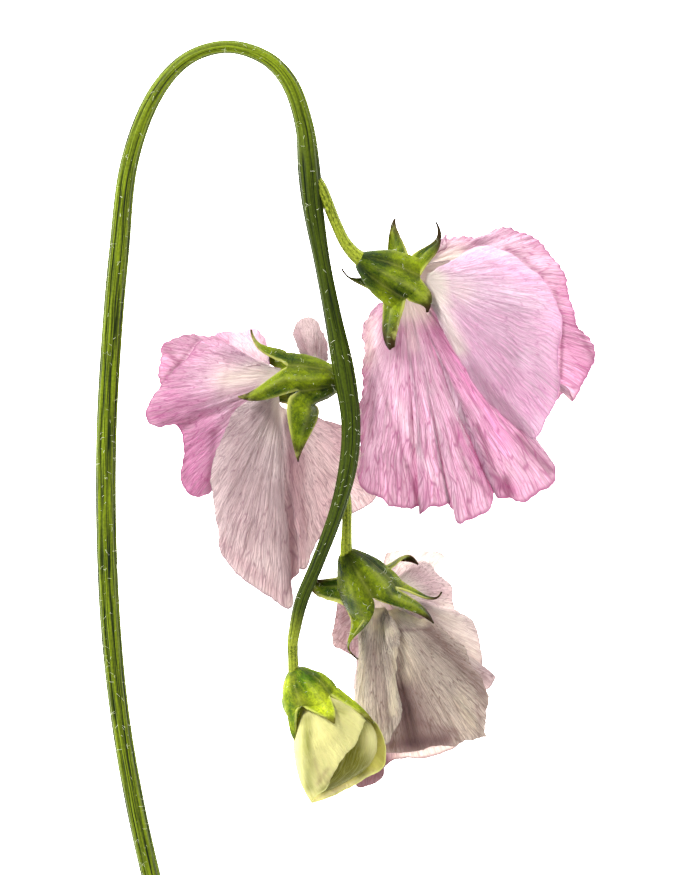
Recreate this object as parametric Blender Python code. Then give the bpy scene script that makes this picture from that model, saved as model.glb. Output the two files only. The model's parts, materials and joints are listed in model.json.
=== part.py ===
"""Sweet pea sprig: one cut flower stalk laid down, with three open flowers and a bud.

Everything is laid out in millimetres on a flat bench: x to the right, y up along the
stalk, z the height over the bench. An empty carries all the pieces and shifts them so that
the middle of the sprig's footprint is the origin.
"""
import math

import bmesh
import bpy
from mathutils import Vector

MM = 0.001

# Driving dimensions, in millimetres.
PETAL_THICKNESS = 0.45
CALYX_WALL = 0.6
STEM_SIDES = 10
STEM_STEP = 2.6
PEDICEL_SIDES = 8
PEDICEL_STEP = 1.6
PETAL_COLUMNS = 17
PETAL_ROWS = 7
CALYX_BODY_ROWS = 4
TOOTH_COLUMNS = 4
TOOTH_ROWS = 4

# Colours, as linear red, green and blue.
STEM_GREEN = (0.10, 0.20, 0.03)
PEDICEL_GREEN = (0.28, 0.35, 0.06)
CALYX_GREEN = (0.14, 0.24, 0.02)
PINK = (0.78, 0.46, 0.64)
PALE = (0.72, 0.62, 0.64)
BUD_CREAM = (0.78, 0.78, 0.32)

# The stalk's centre line and its diameter: (x, y, z, diameter), cut end first.
STEM = [
    (28.6, -15.0, 1.8, 3.3), (24.8, 0.0, 3.2, 3.3), (22.0, 13.0, 4.6, 3.3), (19.7, 27.2, 6.2, 3.3),
    (18.2, 43.0, 8.2, 3.5), (17.6, 60.0, 10.3, 3.5), (17.8, 76.0, 12.2, 3.5), (18.8, 92.0, 14.0, 3.5),
    (19.9, 104.0, 15.3, 3.5), (21.5, 118.0, 16.8, 3.1), (25.3, 128.8, 18.0, 2.8),
    (30.8, 135.5, 19.0, 2.4), (37.7, 137.8, 20.0, 2.2), (44.2, 136.0, 20.8, 2.5),
    (48.4, 131.6, 21.3, 2.9), (50.8, 124.5, 21.7, 3.2), (51.6, 117.0, 22.0, 3.9),
    (52.3, 110.5, 22.2, 3.5), (53.8, 101.7, 22.5, 2.8), (55.5, 93.0, 22.9, 3.0),
    (57.3, 84.0, 23.3, 3.7), (58.5, 75.5, 23.5, 3.3), (58.0, 68.0, 23.5, 3.1),
    (56.0, 60.2, 23.3, 2.5), (53.0, 52.3, 22.8, 2.3), (50.3, 45.8, 22.3, 2.3), (48.8, 38.4, 21.8, 1.9),
]

# Flower stalks: (name, centre line as (x, y, z, diameter)).
PEDICELS = [
    ("upper_pedicel", [(55.0, 113.0, 22.2, 1.9), (55.8, 109.4, 22.1, 1.8), (57.2, 105.6, 21.9, 1.9),
                       (58.4, 103.5, 21.7, 2.2)]),
    ("middle_pedicel", [(57.7, 82.2, 20.6, 1.9), (56.9, 82.3, 20.1, 2.0), (56.2, 82.4, 19.8, 2.2)]),
    ("lower_pedicel", [(57.9, 61.6, 21.4, 1.7), (57.8, 58.2, 20.0, 1.7), (57.7, 54.3, 18.5, 2.0)]),
    ("bud_pedicel", [(48.8, 37.9, 21.7, 1.7), (48.9, 36.0, 21.5, 1.7), (49.0, 34.6, 21.3, 1.9)]),
]

# Calyces: (name, base, mouth centre, base radius, mouth radius,
#           teeth as (angle round the axis, tip, outward swell of the middle)).
# The angle is 0 on the side of the sheet's "up", 90 facing up from the bench.
CALYCES = [
    ("upper_calyx", (59.3, 102.3, 21.6), (67.6, 99.6, 20.4), 1.3, 4.3,
     [(150, (64.5, 87.5, 25.6), 2.0), (92, (71.5, 94.0, 26.0), 1.5), (25, (72.5, 108.3, 23.5), 1.5),
      (-45, (65.7, 109.0, 15.0), 1.5), (-125, (58.5, 98.5, 14.0), 1.5)]),
    ("middle_calyx", (55.2, 82.4, 19.6), (48.3, 82.2, 19.0), 1.3, 4.4,
     [(165, (49.8, 69.4, 21.0), 1.5), (95, (40.2, 79.4, 23.5), 1.5), (20, (42.0, 90.5, 21.5), 1.2),
      (-50, (43.2, 86.0, 10.8), 0.8), (-120, (44.6, 79.6, 11.4), 0.8)]),
    ("lower_calyx", (57.9, 53.2, 18.2), (62.2, 45.3, 15.6), 1.3, 4.0,
     [(75, (72.0, 42.3, 18.6), 1.5), (12, (73.4, 46.6, 16.0), 0.8), (-52, (69.5, 51.6, 12.0), 1.2),
      (-125, (52.5, 48.6, 12.0), 1.5), (165, (59.6, 36.2, 16.8), 0.8)]),
    ("bud_calyx", (49.2, 33.8, 21.2), (51.8, 28.4, 20.4), 1.3, 4.9,
     [(185, (49.0, 22.6, 20.6), 0.6), (95, (55.7, 26.0, 27.6), 1.0), (15, (62.6, 27.2, 18.6), 1.4),
      (-55, (58.0, 24.0, 12.8), 0.8), (-125, (51.0, 24.0, 13.6), 0.8)]),
]

# Petals: (name, colour, claw start, claw end, margin). The margin runs anticlockwise, each
# point as (x, y, height of the middle of its spoke, height at the margin), with two more
# values where the spoke itself bows sideways: how far its middle shifts in x and in y.
PETALS = [
    ("upper_standard", PINK, (67.6, 94.6, 19.6), (69.6, 96.0, 19.2), [
        (62.2, 93.2, 18.8, 17.5), (60.4, 88.0, 19.0, 17.0), (60.0, 80.0, 20.0, 17.0),
        (59.8, 70.0, 21.0, 15.0), (61.2, 64.0, 21.5, 13.0), (67.0, 61.2, 21.5, 12.5),
        (73.0, 61.4, 21.0, 12.0), (77.4, 59.2, 20.5, 11.5), (82.0, 60.8, 19.5, 11.0),
        (83.6, 63.2, 19.0, 11.0), (87.8, 62.6, 18.5, 10.5), (92.5, 66.3, 17.5, 10.0),
        (88.5, 74.0, 17.0, 10.0), (89.0, 80.0, 16.5, 10.5), (85.0, 88.0, 16.8, 11.5),
        (79.0, 93.5, 17.8, 14.0)]),
    ("upper_left_wing", PINK, (71.6, 97.4, 22.6), (71.4, 100.0, 22.4), [
        (76.0, 88.0, 22.6, 21.5), (80.0, 82.0, 23.0, 18.5), (88.5, 72.8, 24.0, 14.0),
        (92.7, 79.0, 25.0, 14.5), (93.0, 88.0, 26.0, 16.0), (93.1, 93.0, 26.5, 17.0),
        (89.7, 99.5, 26.5, 18.0), (84.0, 104.0, 25.5, 19.0), (78.2, 103.7, 24.5, 20.0),
        (74.0, 101.4, 23.0, 21.2)]),
    ("upper_keel", PALE, (68.6, 98.4, 17.5), (68.4, 100.6, 17.3), [
        (76.0, 97.0, 17.6, 16.0), (82.0, 96.5, 16.8, 15.0), (85.0, 99.0, 16.5, 14.5),
        (82.5, 101.8, 16.8, 14.5), (76.0, 102.8, 17.8, 16.0)]),
    ("upper_right_wing", PINK, (67.9, 98.2, 15.4), (67.7, 100.4, 15.4), [
        (88.0, 76.5, 9.0, 2.5), (92.8, 78.6, 8.0, 0.6), (96.2, 79.6, 7.5, 0.4), (99.2, 85.6, 8.0, 0.6),
        (96.6, 91.6, 9.0, 1.0), (95.2, 97.5, 9.5, 2.0), (92.0, 103.6, 10.5, 3.5),
        (86.0, 107.4, 11.5, 5.5), (80.0, 106.8, 12.5, 7.5), (74.4, 106.2, 14.0, 10.5)]),
    ("middle_standard", PALE, (46.4, 80.2, 21.2), (45.8, 77.4, 14.4), [
        (40.6, 77.8, 20.8, 19.0), (36.6, 73.0, 20.8, 17.0), (35.3, 66.0, 21.0, 15.5),
        (35.9, 58.0, 20.8, 14.0), (37.6, 52.0, 20.5, 13.0), (42.5, 48.0, 20.0, 12.5),
        (48.0, 44.6, 18.6, 12.0), (49.0, 49.0, 15.8, 11.0), (50.8, 50.8, 13.5, 9.5),
        (53.5, 56.5, 12.0, 8.0), (59.5, 60.8, 11.5, 5.5), (62.4, 62.4, 11.2, 4.8),
        (61.6, 68.0, 11.0, 5.0), (58.5, 74.5, 11.0, 6.5)]),
    ("middle_left_wing", PINK, (45.6, 83.4, 19.4), (45.4, 81.6, 18.6), [
        (38.8, 86.4, 17.8, 16.0), (35.2, 88.8, 17.0, 14.0), (31.6, 86.8, 17.0, 12.5),
        (26.8, 81.8, 17.0, 11.5), (24.8, 76.4, 16.8, 11.0), (29.4, 74.0, 16.6, 11.0),
        (30.4, 68.4, 16.2, 10.0), (32.2, 63.6, 16.0, 9.0), (36.0, 65.0, 16.0, 9.5),
        (39.5, 72.0, 16.4, 12.5)]),
    ("middle_keel", PALE, (45.6, 88.0, 17.4), (45.2, 86.6, 17.0), [
        (53.0, 88.0, 13.6, 11.0), (54.2, 90.4, 13.2, 9.5), (51.5, 92.4, 13.5, 9.5),
        (49.4, 90.4, 14.2, 11.0), (45.5, 89.0, 15.2, 13.5)]),
    ("middle_right_wing", PINK, (44.8, 83.2, 15.4), (44.6, 81.0, 14.8), [
        (42.6, 90.4, 12.0, 8.0), (35.0, 90.2, 10.0, 5.0), (27.6, 88.6, 8.5, 3.0),
        (26.0, 81.5, 7.5, 1.0), (27.0, 74.0, 7.0, 0.4), (31.5, 68.5, 7.0, 0.4),
        (38.0, 68.0, 8.0, 2.0), (42.0, 73.5, 10.0, 6.0)]),
    ("lower_left_wing", PALE, (61.8, 42.6, 18.0), (63.8, 42.4, 17.6), [
        (60.0, 39.5, 17.4, 15.5), (59.6, 33.0, 16.6, 11.0), (60.2, 27.0, 15.6, 9.5),
        (63.2, 21.8, 15.2, 9.5), (66.0, 23.0, 15.8, 11.5), (66.7, 28.0, 16.6, 13.0),
        (65.8, 34.0, 17.4, 15.0), (66.6, 39.6, 17.8, 16.6)]),
    ("lower_right_wing", PALE, (64.4, 43.0, 15.4), (66.0, 43.8, 15.2), [
        (63.5, 20.2, 12.4, 7.5), (69.5, 20.2, 13.8, 8.5), (75.7, 21.3, 14.8, 9.0),
        (80.8, 23.2, 15.4, 9.0), (81.4, 28.6, 16.0, 9.5), (79.0, 34.3, 16.6, 11.0),
        (75.7, 39.2, 16.4, 13.0), (71.2, 41.4, 16.0, 14.4)]),
    ("lower_keel", PINK, (65.4, 44.4, 13.2), (64.8, 47.0, 12.8), [
        (74.0, 34.0, 11.4, 7.5), (80.8, 31.6, 11.6, 7.0), (82.3, 33.2, 11.8, 7.0),
        (80.0, 38.5, 12.0, 8.5), (77.6, 42.6, 12.2, 9.5), (75.4, 46.6, 11.2, 8.0),
        (73.0, 50.2, 10.8, 7.5), (70.0, 51.4, 10.8, 8.0)]),
    ("lower_standard", PINK, (61.4, 45.2, 10.8), (62.6, 46.6, 10.6), [
        (57.0, 45.5, 9.0, 6.0), (55.6, 39.0, 7.5, 3.0), (58.4, 35.6, 6.6, 1.5), (58.6, 26.0, 6.2, 0.8),
        (59.6, 15.0, 6.0, 0.4), (64.2, 16.6, 6.0, 0.4), (72.0, 19.4, 6.0, 0.4), (78.0, 23.0, 6.0, 0.6),
        (79.6, 32.0, 6.2, 1.0), (78.0, 42.0, 6.8, 2.0), (75.5, 50.5, 7.5, 3.5), (73.8, 53.0, 8.0, 4.5),
        (66.5, 53.2, 9.0, 7.0)]),
    ("bud_standard", BUD_CREAM, (51.8, 29.2, 22.2), (51.9, 29.0, 18.8), [
        (57.4, 24.8, 23.0, 21.6), (60.4, 24.2, 24.0, 21.4), (60.0, 22.0, 25.4, 21.4, -0.4, 0.0),
        (56.5, 17.2, 25.4, 21.0, -1.2, 0.0), (52.4, 12.6, 22.6, 19.6, -2.2, 0.0),
        (51.9, 12.0, 20.0, 19.0, -2.4, 0.0), (52.8, 12.2, 17.6, 18.4, -2.2, 0.0),
        (57.3, 13.8, 15.0, 18.4, -1.2, 0.0), (63.2, 17.2, 15.2, 18.8, -0.4, 0.0),
        (64.0, 22.0, 15.8, 19.0), (62.2, 24.2, 16.6, 19.0)]),
]

UP_SHEET = Vector((0.0, 1.0, 0.0))


def spline(points, samples):
    """Evenly spread samples on a smooth curve through points, which may have any length."""
    rows = [Vector(point[:3]) for point in points]
    extra = [list(point[3:]) for point in points]
    lengths = [0.0]
    for first, second in zip(rows, rows[1:]):
        lengths.append(lengths[-1] + (second - first).length)
    result = []
    for index in range(samples):
        target = lengths[-1] * index / (samples - 1)
        leg = 0
        while leg < len(rows) - 2 and lengths[leg + 1] < target:
            leg += 1
        part = (target - lengths[leg]) / (lengths[leg + 1] - lengths[leg])
        before, after = max(leg - 1, 0), min(leg + 2, len(rows) - 1)
        values = []
        for axis in range(3 + len(extra[0])):
            p0, p1, p2, p3 = [(list(rows[i]) + extra[i])[axis] for i in (before, leg, leg + 1, after)]
            values.append(0.5 * (2 * p1 + (p2 - p0) * part + (2 * p0 - 5 * p1 + 4 * p2 - p3) * part ** 2
                                 + (3 * p1 - p0 - 3 * p2 + p3) * part ** 3))
        result.append(values)
    return result


def path_length(points):
    return sum((Vector(b[:3]) - Vector(a[:3])).length for a, b in zip(points, points[1:]))


def material(name, colour, roughness):
    finish = bpy.data.materials.new(name)
    finish.use_nodes = True
    shader = finish.node_tree.nodes["Principled BSDF"]
    shader.inputs["Base Color"].default_value = (*colour, 1.0)
    shader.inputs["Roughness"].default_value = roughness
    shader.inputs["Metallic"].default_value = 0.0
    finish.diffuse_color = (*colour, 1.0)
    return finish


def place(name, shape, finish, sprig):
    """Make the object called name from a bmesh in millimetres, and hang it on the sprig."""
    bmesh.ops.scale(shape, vec=(MM, MM, MM), verts=shape.verts)
    mesh = bpy.data.meshes.new(name)
    shape.to_mesh(mesh)
    shape.free()
    mesh.materials.append(finish)
    mesh.shade_smooth()
    piece = bpy.data.objects.new(name, mesh)
    piece.parent = sprig
    bpy.context.collection.objects.link(piece)
    return piece


def tube(points, sides, step):
    """A closed round rod along a centre line whose points hold their own diameters."""
    count = max(3, round(path_length(points) / step) + 1)
    rows = spline(points, count)
    shape = bmesh.new()
    rings = []
    for index, (x, y, z, diameter) in enumerate(rows):
        ahead = Vector(rows[min(index + 1, count - 1)][:3])
        behind = Vector(rows[max(index - 1, 0)][:3])
        along = (ahead - behind).normalized()
        side = Vector((0.0, 0.0, 1.0)).cross(along).normalized()
        top = along.cross(side)
        ring = []
        for k in range(sides):
            angle = math.tau * k / sides
            offset = (side * math.cos(angle) + top * math.sin(angle)) * diameter / 2
            ring.append(shape.verts.new(Vector((x, y, z)) + offset))
        rings.append(ring)
    for low, high in zip(rings, rings[1:]):
        for k in range(sides):
            shape.faces.new((low[k], low[(k + 1) % sides], high[(k + 1) % sides], high[k]))
    shape.faces.new(list(reversed(rings[0])))
    shape.faces.new(rings[-1])
    return shape


def fan(claw_start, claw_end, margin, columns, rows):
    """The middle surface of a petal: spokes that run from its claw to its margin."""
    padded = [list(point) + [0.0] * (6 - len(point)) for point in margin]
    tips = spline([(x, y, tip, middle, bow_x, bow_y) for x, y, middle, tip, bow_x, bow_y in padded], columns)
    grid = []
    for index, (x, y, tip_height, middle_height, bow_x, bow_y) in enumerate(tips):
        claw = Vector(claw_start).lerp(Vector(claw_end), index / (columns - 1))
        spoke = []
        for row in range(rows):
            t = row / (rows - 1)
            swing = 4 * t * (1 - t)
            height = (claw.z * (1 - t) * (1 - 2 * t) + middle_height * swing
                      + tip_height * t * (2 * t - 1))
            spoke.append(Vector((claw.x + (x - claw.x) * t + bow_x * swing,
                                 claw.y + (y - claw.y) * t + bow_y * swing, height)))
        grid.append(spoke)
    return grid


def sheet(grid, thickness):
    """A closed sheet of even thickness about a grid of points."""
    shape = bmesh.new()
    verts = [[shape.verts.new(point) for point in line] for line in grid]
    for left, right in zip(verts, verts[1:]):
        for row in range(len(left) - 1):
            shape.faces.new((left[row], left[row + 1], right[row + 1], right[row]))
    thicken(shape, thickness)
    return shape


def thicken(shape, thickness):
    """Give an open surface two skins and closed edges, faces outwards."""
    shape.normal_update()
    middle = list(shape.verts)
    lower = {vert: shape.verts.new(vert.co - vert.normal * thickness / 2) for vert in middle}
    edges = [edge for edge in shape.edges if edge.is_boundary]
    faces = list(shape.faces)
    for vert in middle:
        vert.co += vert.normal * thickness / 2
    for face in faces:
        shape.faces.new([lower[vert] for vert in reversed(face.verts)])
    for edge in edges:
        loop = edge.link_loops[0]
        start, end = loop.vert, loop.link_loop_next.vert
        shape.faces.new((end, start, lower[start], lower[end]))
    bmesh.ops.triangulate(shape, faces=shape.faces)


def calyx(base, mouth, base_radius, mouth_radius, teeth):
    """A cup of joined sepals, open at the mouth, with one pointed tooth for each sepal."""
    base, mouth = Vector(base), Vector(mouth)
    along = (mouth - base).normalized()
    near = (Vector((0.0, 0.0, 1.0)) - along * along.z).normalized()
    side = near.cross(along)
    if side.dot(UP_SHEET) < 0:
        side.negate()
    teeth = sorted(teeth, key=lambda tooth: tooth[0])
    angles = [tooth[0] for tooth in teeth]
    shape = bmesh.new()

    def out(angle):
        return side * math.cos(math.radians(angle)) + near * math.sin(math.radians(angle))

    edges = []
    for index in range(len(angles)):
        following = angles[(index + 1) % len(angles)] + (360 if index == len(angles) - 1 else 0)
        edges.append((angles[index] + following) / 2)
    columns = []
    for index in range(len(angles)):
        start = edges[index - 1] - (360 if index == 0 else 0)
        for step in range(TOOTH_COLUMNS):
            columns.append(start + (edges[index] - start) * step / TOOTH_COLUMNS)
    body = []
    for row in range(CALYX_BODY_ROWS):
        t = row / (CALYX_BODY_ROWS - 1)
        radius = base_radius + (mouth_radius - base_radius) * math.sin(t * math.pi / 2)
        centre = base.lerp(mouth, t)
        body.append([shape.verts.new(centre + out(angle) * radius) for angle in columns])
    total = len(columns)
    for low, high in zip(body, body[1:]):
        for k in range(total):
            shape.faces.new((low[k], low[(k + 1) % total], high[(k + 1) % total], high[k]))
    shape.faces.new(list(reversed(body[0])))
    rim = body[-1]
    for index, (angle, tip, swell) in enumerate(teeth):
        foot = [rim[(index * TOOTH_COLUMNS + k) % total] for k in range(TOOTH_COLUMNS + 1)]
        root = mouth + out(angle) * mouth_radius
        tip = Vector(tip)
        bend = root.lerp(tip, 0.5) + out(angle) * swell
        previous = foot
        for row in range(1, TOOTH_ROWS):
            s = row / TOOTH_ROWS
            centre = root * (1 - s) ** 2 + bend * 2 * s * (1 - s) + tip * s ** 2
            line = []
            for vert in foot:
                line.append(shape.verts.new(centre + (vert.co - root) * (1 - s) ** 0.8))
            for k in range(TOOTH_COLUMNS):
                shape.faces.new((previous[k], previous[k + 1], line[k + 1], line[k]))
            previous = line
        point = shape.verts.new(tip)
        for k in range(TOOTH_COLUMNS):
            shape.faces.new((previous[k], previous[k + 1], point))
    bmesh.ops.recalc_face_normals(shape, faces=shape.faces)
    thicken(shape, CALYX_WALL)
    return shape


def build_sprig():
    for old in list(bpy.data.objects):
        bpy.data.objects.remove(old, do_unlink=True)
    sprig = bpy.data.objects.new("sweet_pea", None)
    bpy.context.collection.objects.link(sprig)
    stem_green = material("stem_green", STEM_GREEN, 0.5)
    pedicel_green = material("pedicel_green", PEDICEL_GREEN, 0.5)
    calyx_green = material("calyx_green", CALYX_GREEN, 0.55)
    pieces = [place("stem", tube(STEM, STEM_SIDES, STEM_STEP), stem_green, sprig)]
    for name, line in PEDICELS:
        pieces.append(place(name, tube(line, PEDICEL_SIDES, PEDICEL_STEP), pedicel_green, sprig))
    for name, *form in CALYCES:
        pieces.append(place(name, calyx(*form), calyx_green, sprig))
    for name, colour, start, end, margin in PETALS:
        surface = fan(start, end, margin, PETAL_COLUMNS, PETAL_ROWS)
        finish = material(name + "_petal", colour, 0.6)
        pieces.append(place(name, sheet(surface, PETAL_THICKNESS), finish, sprig))
    bpy.context.view_layer.update()
    corners = [piece.matrix_world @ vert.co for piece in pieces for vert in piece.data.vertices]
    low = [min(corner[axis] for corner in corners) for axis in range(3)]
    high = [max(corner[axis] for corner in corners) for axis in range(3)]
    sprig.location = (-(low[0] + high[0]) / 2, -(low[1] + high[1]) / 2, -low[2])


build_sprig()
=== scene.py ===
# %% [markdown]
# # A sweet pea sprig, laid on a pale table
# A cut sweet pea stalk hangs over in a hook and carries three open flowers and a bud. The solid
# model already says where each piece is. This lesson gives every piece its real surface: thin
# veined petals, downy green sepals, a ribbed stalk, and the soft light that shines through them.

# %% Load the frame
import math
import json

import bpy
import numpy as np
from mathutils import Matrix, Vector, noise


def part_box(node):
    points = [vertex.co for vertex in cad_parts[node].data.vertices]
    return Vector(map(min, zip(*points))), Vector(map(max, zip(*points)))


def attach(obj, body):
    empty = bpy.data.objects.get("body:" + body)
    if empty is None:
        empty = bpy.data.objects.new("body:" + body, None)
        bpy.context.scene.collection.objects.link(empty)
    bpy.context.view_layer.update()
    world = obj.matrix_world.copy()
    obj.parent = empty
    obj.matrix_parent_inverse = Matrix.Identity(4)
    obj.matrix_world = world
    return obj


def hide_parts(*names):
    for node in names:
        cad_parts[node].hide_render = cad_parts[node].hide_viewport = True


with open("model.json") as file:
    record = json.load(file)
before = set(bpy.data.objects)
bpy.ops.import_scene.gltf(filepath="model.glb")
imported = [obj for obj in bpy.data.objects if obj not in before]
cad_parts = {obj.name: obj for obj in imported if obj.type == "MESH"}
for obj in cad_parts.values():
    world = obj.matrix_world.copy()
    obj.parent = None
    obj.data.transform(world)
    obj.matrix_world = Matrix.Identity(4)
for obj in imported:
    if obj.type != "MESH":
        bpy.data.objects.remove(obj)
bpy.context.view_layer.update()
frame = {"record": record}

# %% [markdown]
# ## Units and the layout sheet
# All shapes are drawn in millimetres on one flat sheet: x to the right, y up along the stalk and
# z the height over the table. The stalk's box ties that sheet to the frame, so that nothing has to
# be fitted by eye afterwards.

# %% Tie the sheet to the frame
MM = 0.001
STALK_LEFT = 15.83    # the stalk's leftmost point on the sheet
STALK_TOP = 138.84    # the top of its hook
stalk_low, stalk_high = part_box("stem")
SHEET = np.array([stalk_low[0] - STALK_LEFT * MM, stalk_high[1] - STALK_TOP * MM, 0.0])
print("sheet corner at", SHEET.round(4))


def to_frame(points):
    """Millimetres on the sheet to metres in the frame."""
    return np.asarray(points, dtype=float) * MM + SHEET


def srgb(red, green, blue):
    """A colour as it looks, turned into the linear colour that shaders read."""
    parts = [c / 12.92 if c <= 0.04045 else ((c + 0.055) / 1.055) ** 2.4 for c in (red, green, blue)]
    return (*parts, 1.0)


def ease(low, high, value):
    """0 below low, 1 above high, and a smooth step between."""
    t = np.clip((np.asarray(value, dtype=float) - low) / (high - low), 0.0, 1.0)
    return t * t * (3 - 2 * t)


def through(points, count, flat=2):
    """Evenly spaced samples on a smooth curve through points of any width."""
    rows = np.array(points, dtype=float)
    gaps = np.linalg.norm(np.diff(rows[:, :flat], axis=0), axis=1)
    along = np.concatenate([[0.0], np.cumsum(gaps)])
    wanted = np.linspace(0.0, along[-1], count)
    leg = np.clip(np.searchsorted(along, wanted, side="right") - 1, 0, len(rows) - 2)
    t = ((wanted - along[leg]) / gaps[leg])[:, None]
    p0, p1 = rows[np.maximum(leg - 1, 0)], rows[leg]
    p2, p3 = rows[leg + 1], rows[np.minimum(leg + 2, len(rows) - 1)]
    return 0.5 * (2 * p1 + (p2 - p0) * t + (2 * p0 - 5 * p1 + 4 * p2 - p3) * t ** 2
                  + (3 * p1 - p0 - 3 * p2 + p3) * t ** 3)

# %% [markdown]
# ## Node helpers
# A node tree reads best as a list of nodes with their inputs beside them. These helpers make one
# node at a time, and link it where an input is another node's output. Sums and products get names
# of their own, so that a line of shader arithmetic reads like arithmetic.

# %% Node helpers
def feed(tree, socket, value):
    """Link another node's output to a socket, or set the socket's own value."""
    if isinstance(value, bpy.types.NodeSocket):
        tree.links.new(value, socket)
    else:
        socket.default_value = value


def add(tree, kind, values=None, **settings):
    """One node: settings are its own properties, values fill or link its input sockets."""
    node = tree.nodes.new(kind)
    for name, value in settings.items():
        setattr(node, name, value)
    for key, value in (values or {}).items():
        feed(tree, node.inputs[key], value)
    return node


def calculate(tree, operation, first, second=0.0, clamp=False):
    """One step of arithmetic."""
    return add(tree, "ShaderNodeMath", {0: first, 1: second}, operation=operation,
               use_clamp=clamp).outputs[0]


def times(tree, first, second):
    return calculate(tree, "MULTIPLY", first, second)


def plus(tree, first, second, clamp=False):
    return calculate(tree, "ADD", first, second, clamp)


def minus(tree, first, second):
    return calculate(tree, "SUBTRACT", first, second)


def blend(tree, factor, first, second, kind="MIX"):
    """Mix two colours."""
    node = add(tree, "ShaderNodeMix", {"Factor": factor}, data_type="RGBA", blend_type=kind)
    feed(tree, node.inputs[6], first)
    feed(tree, node.inputs[7], second)
    return node.outputs[2]


def dim(tree, colour, value):
    """Multiply a colour by one grey value."""
    grey = add(tree, "ShaderNodeCombineColor", {0: value, 1: value, 2: value})
    return blend(tree, 1.0, colour, grey.outputs[0], "MULTIPLY")


def between(tree, value, low, high, to_low=0.0, to_high=1.0):
    """A value between low and high, remapped with a smooth step."""
    values = {"Value": value, "From Min": low, "From Max": high, "To Min": to_low, "To Max": to_high}
    return add(tree, "ShaderNodeMapRange", values, interpolation_type="SMOOTHSTEP").outputs[0]


def new_group(name, inputs, outputs):
    """An empty shader group with its sockets: (name, socket type, default)."""
    tree = bpy.data.node_groups.new(name, "ShaderNodeTree")
    for label, kind, default in inputs:
        socket = tree.interface.new_socket(name=label, in_out="INPUT", socket_type=kind)
        if default is not None:
            socket.default_value = default
    for label, kind in outputs:
        tree.interface.new_socket(name=label, in_out="OUTPUT", socket_type=kind)
    return tree, tree.nodes.new("NodeGroupInput").outputs, tree.nodes.new("NodeGroupOutput").inputs


def use_group(tree, group, values):
    """Place a shader group in a tree, with its own values."""
    return add(tree, "ShaderNodeGroup", values, node_tree=group).outputs


def new_finish(name):
    """An empty finish, its node tree and its main shader."""
    finish = bpy.data.materials.new(name)
    finish.use_nodes = True
    return finish, finish.node_tree, finish.node_tree.nodes["Principled BSDF"]


def painted(tree):
    """What is painted on a mesh: red, green and blue, and the alpha beside them, which is painted shade."""
    tone = add(tree, "ShaderNodeVertexColor", layer_name="tone")
    return add(tree, "ShaderNodeSeparateColor", {0: tone.outputs[0]}).outputs, tone.outputs[1]


def emboss(tree, shader, height, strength, distance):
    """Raise the surface a little where the height is high."""
    bump = add(tree, "ShaderNodeBump", {"Height": height, "Strength": strength, "Distance": distance})
    tree.links.new(bump.outputs[0], shader.inputs["Normal"])
    return bump.outputs[0]


def let_light_through(tree, shader, colour, normal, share):
    """Mix the surface with light that comes through from its other side."""
    light = add(tree, "ShaderNodeBsdfTranslucent", {"Color": colour, "Normal": normal})
    mix = add(tree, "ShaderNodeMixShader", {0: share, 1: shader.outputs[0], 2: light.outputs[0]})
    tree.links.new(mix.outputs[0], tree.nodes["Material Output"].inputs["Surface"])

# %% [markdown]
# ## The vein pattern
# A petal's veins leave the claw, fan out and join up again in long thin loops. On the petal's own
# map, where u runs across the fan and v from claw to margin, that is a cell pattern stretched along
# v. Every petal uses it, so it is a group, which puts out a vein mask and a height.

# %% Vein group
def build_vein_group():
    """The vein mask, the soft streaks between veins and their height."""
    tree, given, result = new_group(
        "petal veins",
        [("Across", "NodeSocketFloat", 40.0), ("Along", "NodeSocketFloat", 5.0),
         ("Wander", "NodeSocketFloat", 0.03)],
        [("Vein", "NodeSocketFloat"), ("Streak", "NodeSocketFloat"), ("Height", "NodeSocketFloat")])
    place = tree.nodes.new("ShaderNodeUVMap")
    place.uv_map = "UVMap"
    split = add(tree, "ShaderNodeSeparateXYZ", {0: place.outputs[0]})
    sway = add(tree, "ShaderNodeTexNoise", {"Vector": place.outputs[0], "Scale": 4.0, "Detail": 1.5})
    drift = times(tree, minus(tree, sway.outputs[0], 0.5), given["Wander"])
    across = times(tree, plus(tree, split.outputs[0], drift), given["Across"])
    along = times(tree, split.outputs[1], given["Along"])
    masks = []
    for finer, longer, width in ((1.0, 1.0, 0.085), (2.1, 2.6, 0.13)):
        spot = add(tree, "ShaderNodeCombineXYZ", {0: times(tree, across, finer),
                                                  1: times(tree, along, longer)})
        cells = add(tree, "ShaderNodeTexVoronoi",
                    {"Vector": spot.outputs[0], "Scale": 1.0, "Randomness": 0.8}, feature="DISTANCE_TO_EDGE")
        masks.append(between(tree, cells.outputs[0], 0.0, width, 1.0, 0.0))
    vein = calculate(tree, "MAXIMUM", masks[0], times(tree, masks[1], 0.55))
    fine_spot = add(tree, "ShaderNodeCombineXYZ", {0: times(tree, across, 1.5), 1: along})
    streak = add(tree, "ShaderNodeTexNoise",
                 {"Vector": fine_spot.outputs[0], "Scale": 0.9, "Detail": 5.0, "Roughness": 0.68})
    height = plus(tree, times(tree, vein, 0.45), times(tree, streak.outputs[0], 1.3))
    tree.links.new(vein, result["Vein"])
    tree.links.new(streak.outputs[0], result["Streak"])
    tree.links.new(height, result["Height"])
    return tree


VEINS = build_vein_group()
print("vein group:", len(VEINS.nodes), "nodes")

# %% [markdown]
# ## Plant tissue
# All living tissue is a little uneven: large soft patches and fine cells. It is one group with two
# scales, so that each part of the plant sets its own grain.

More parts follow.
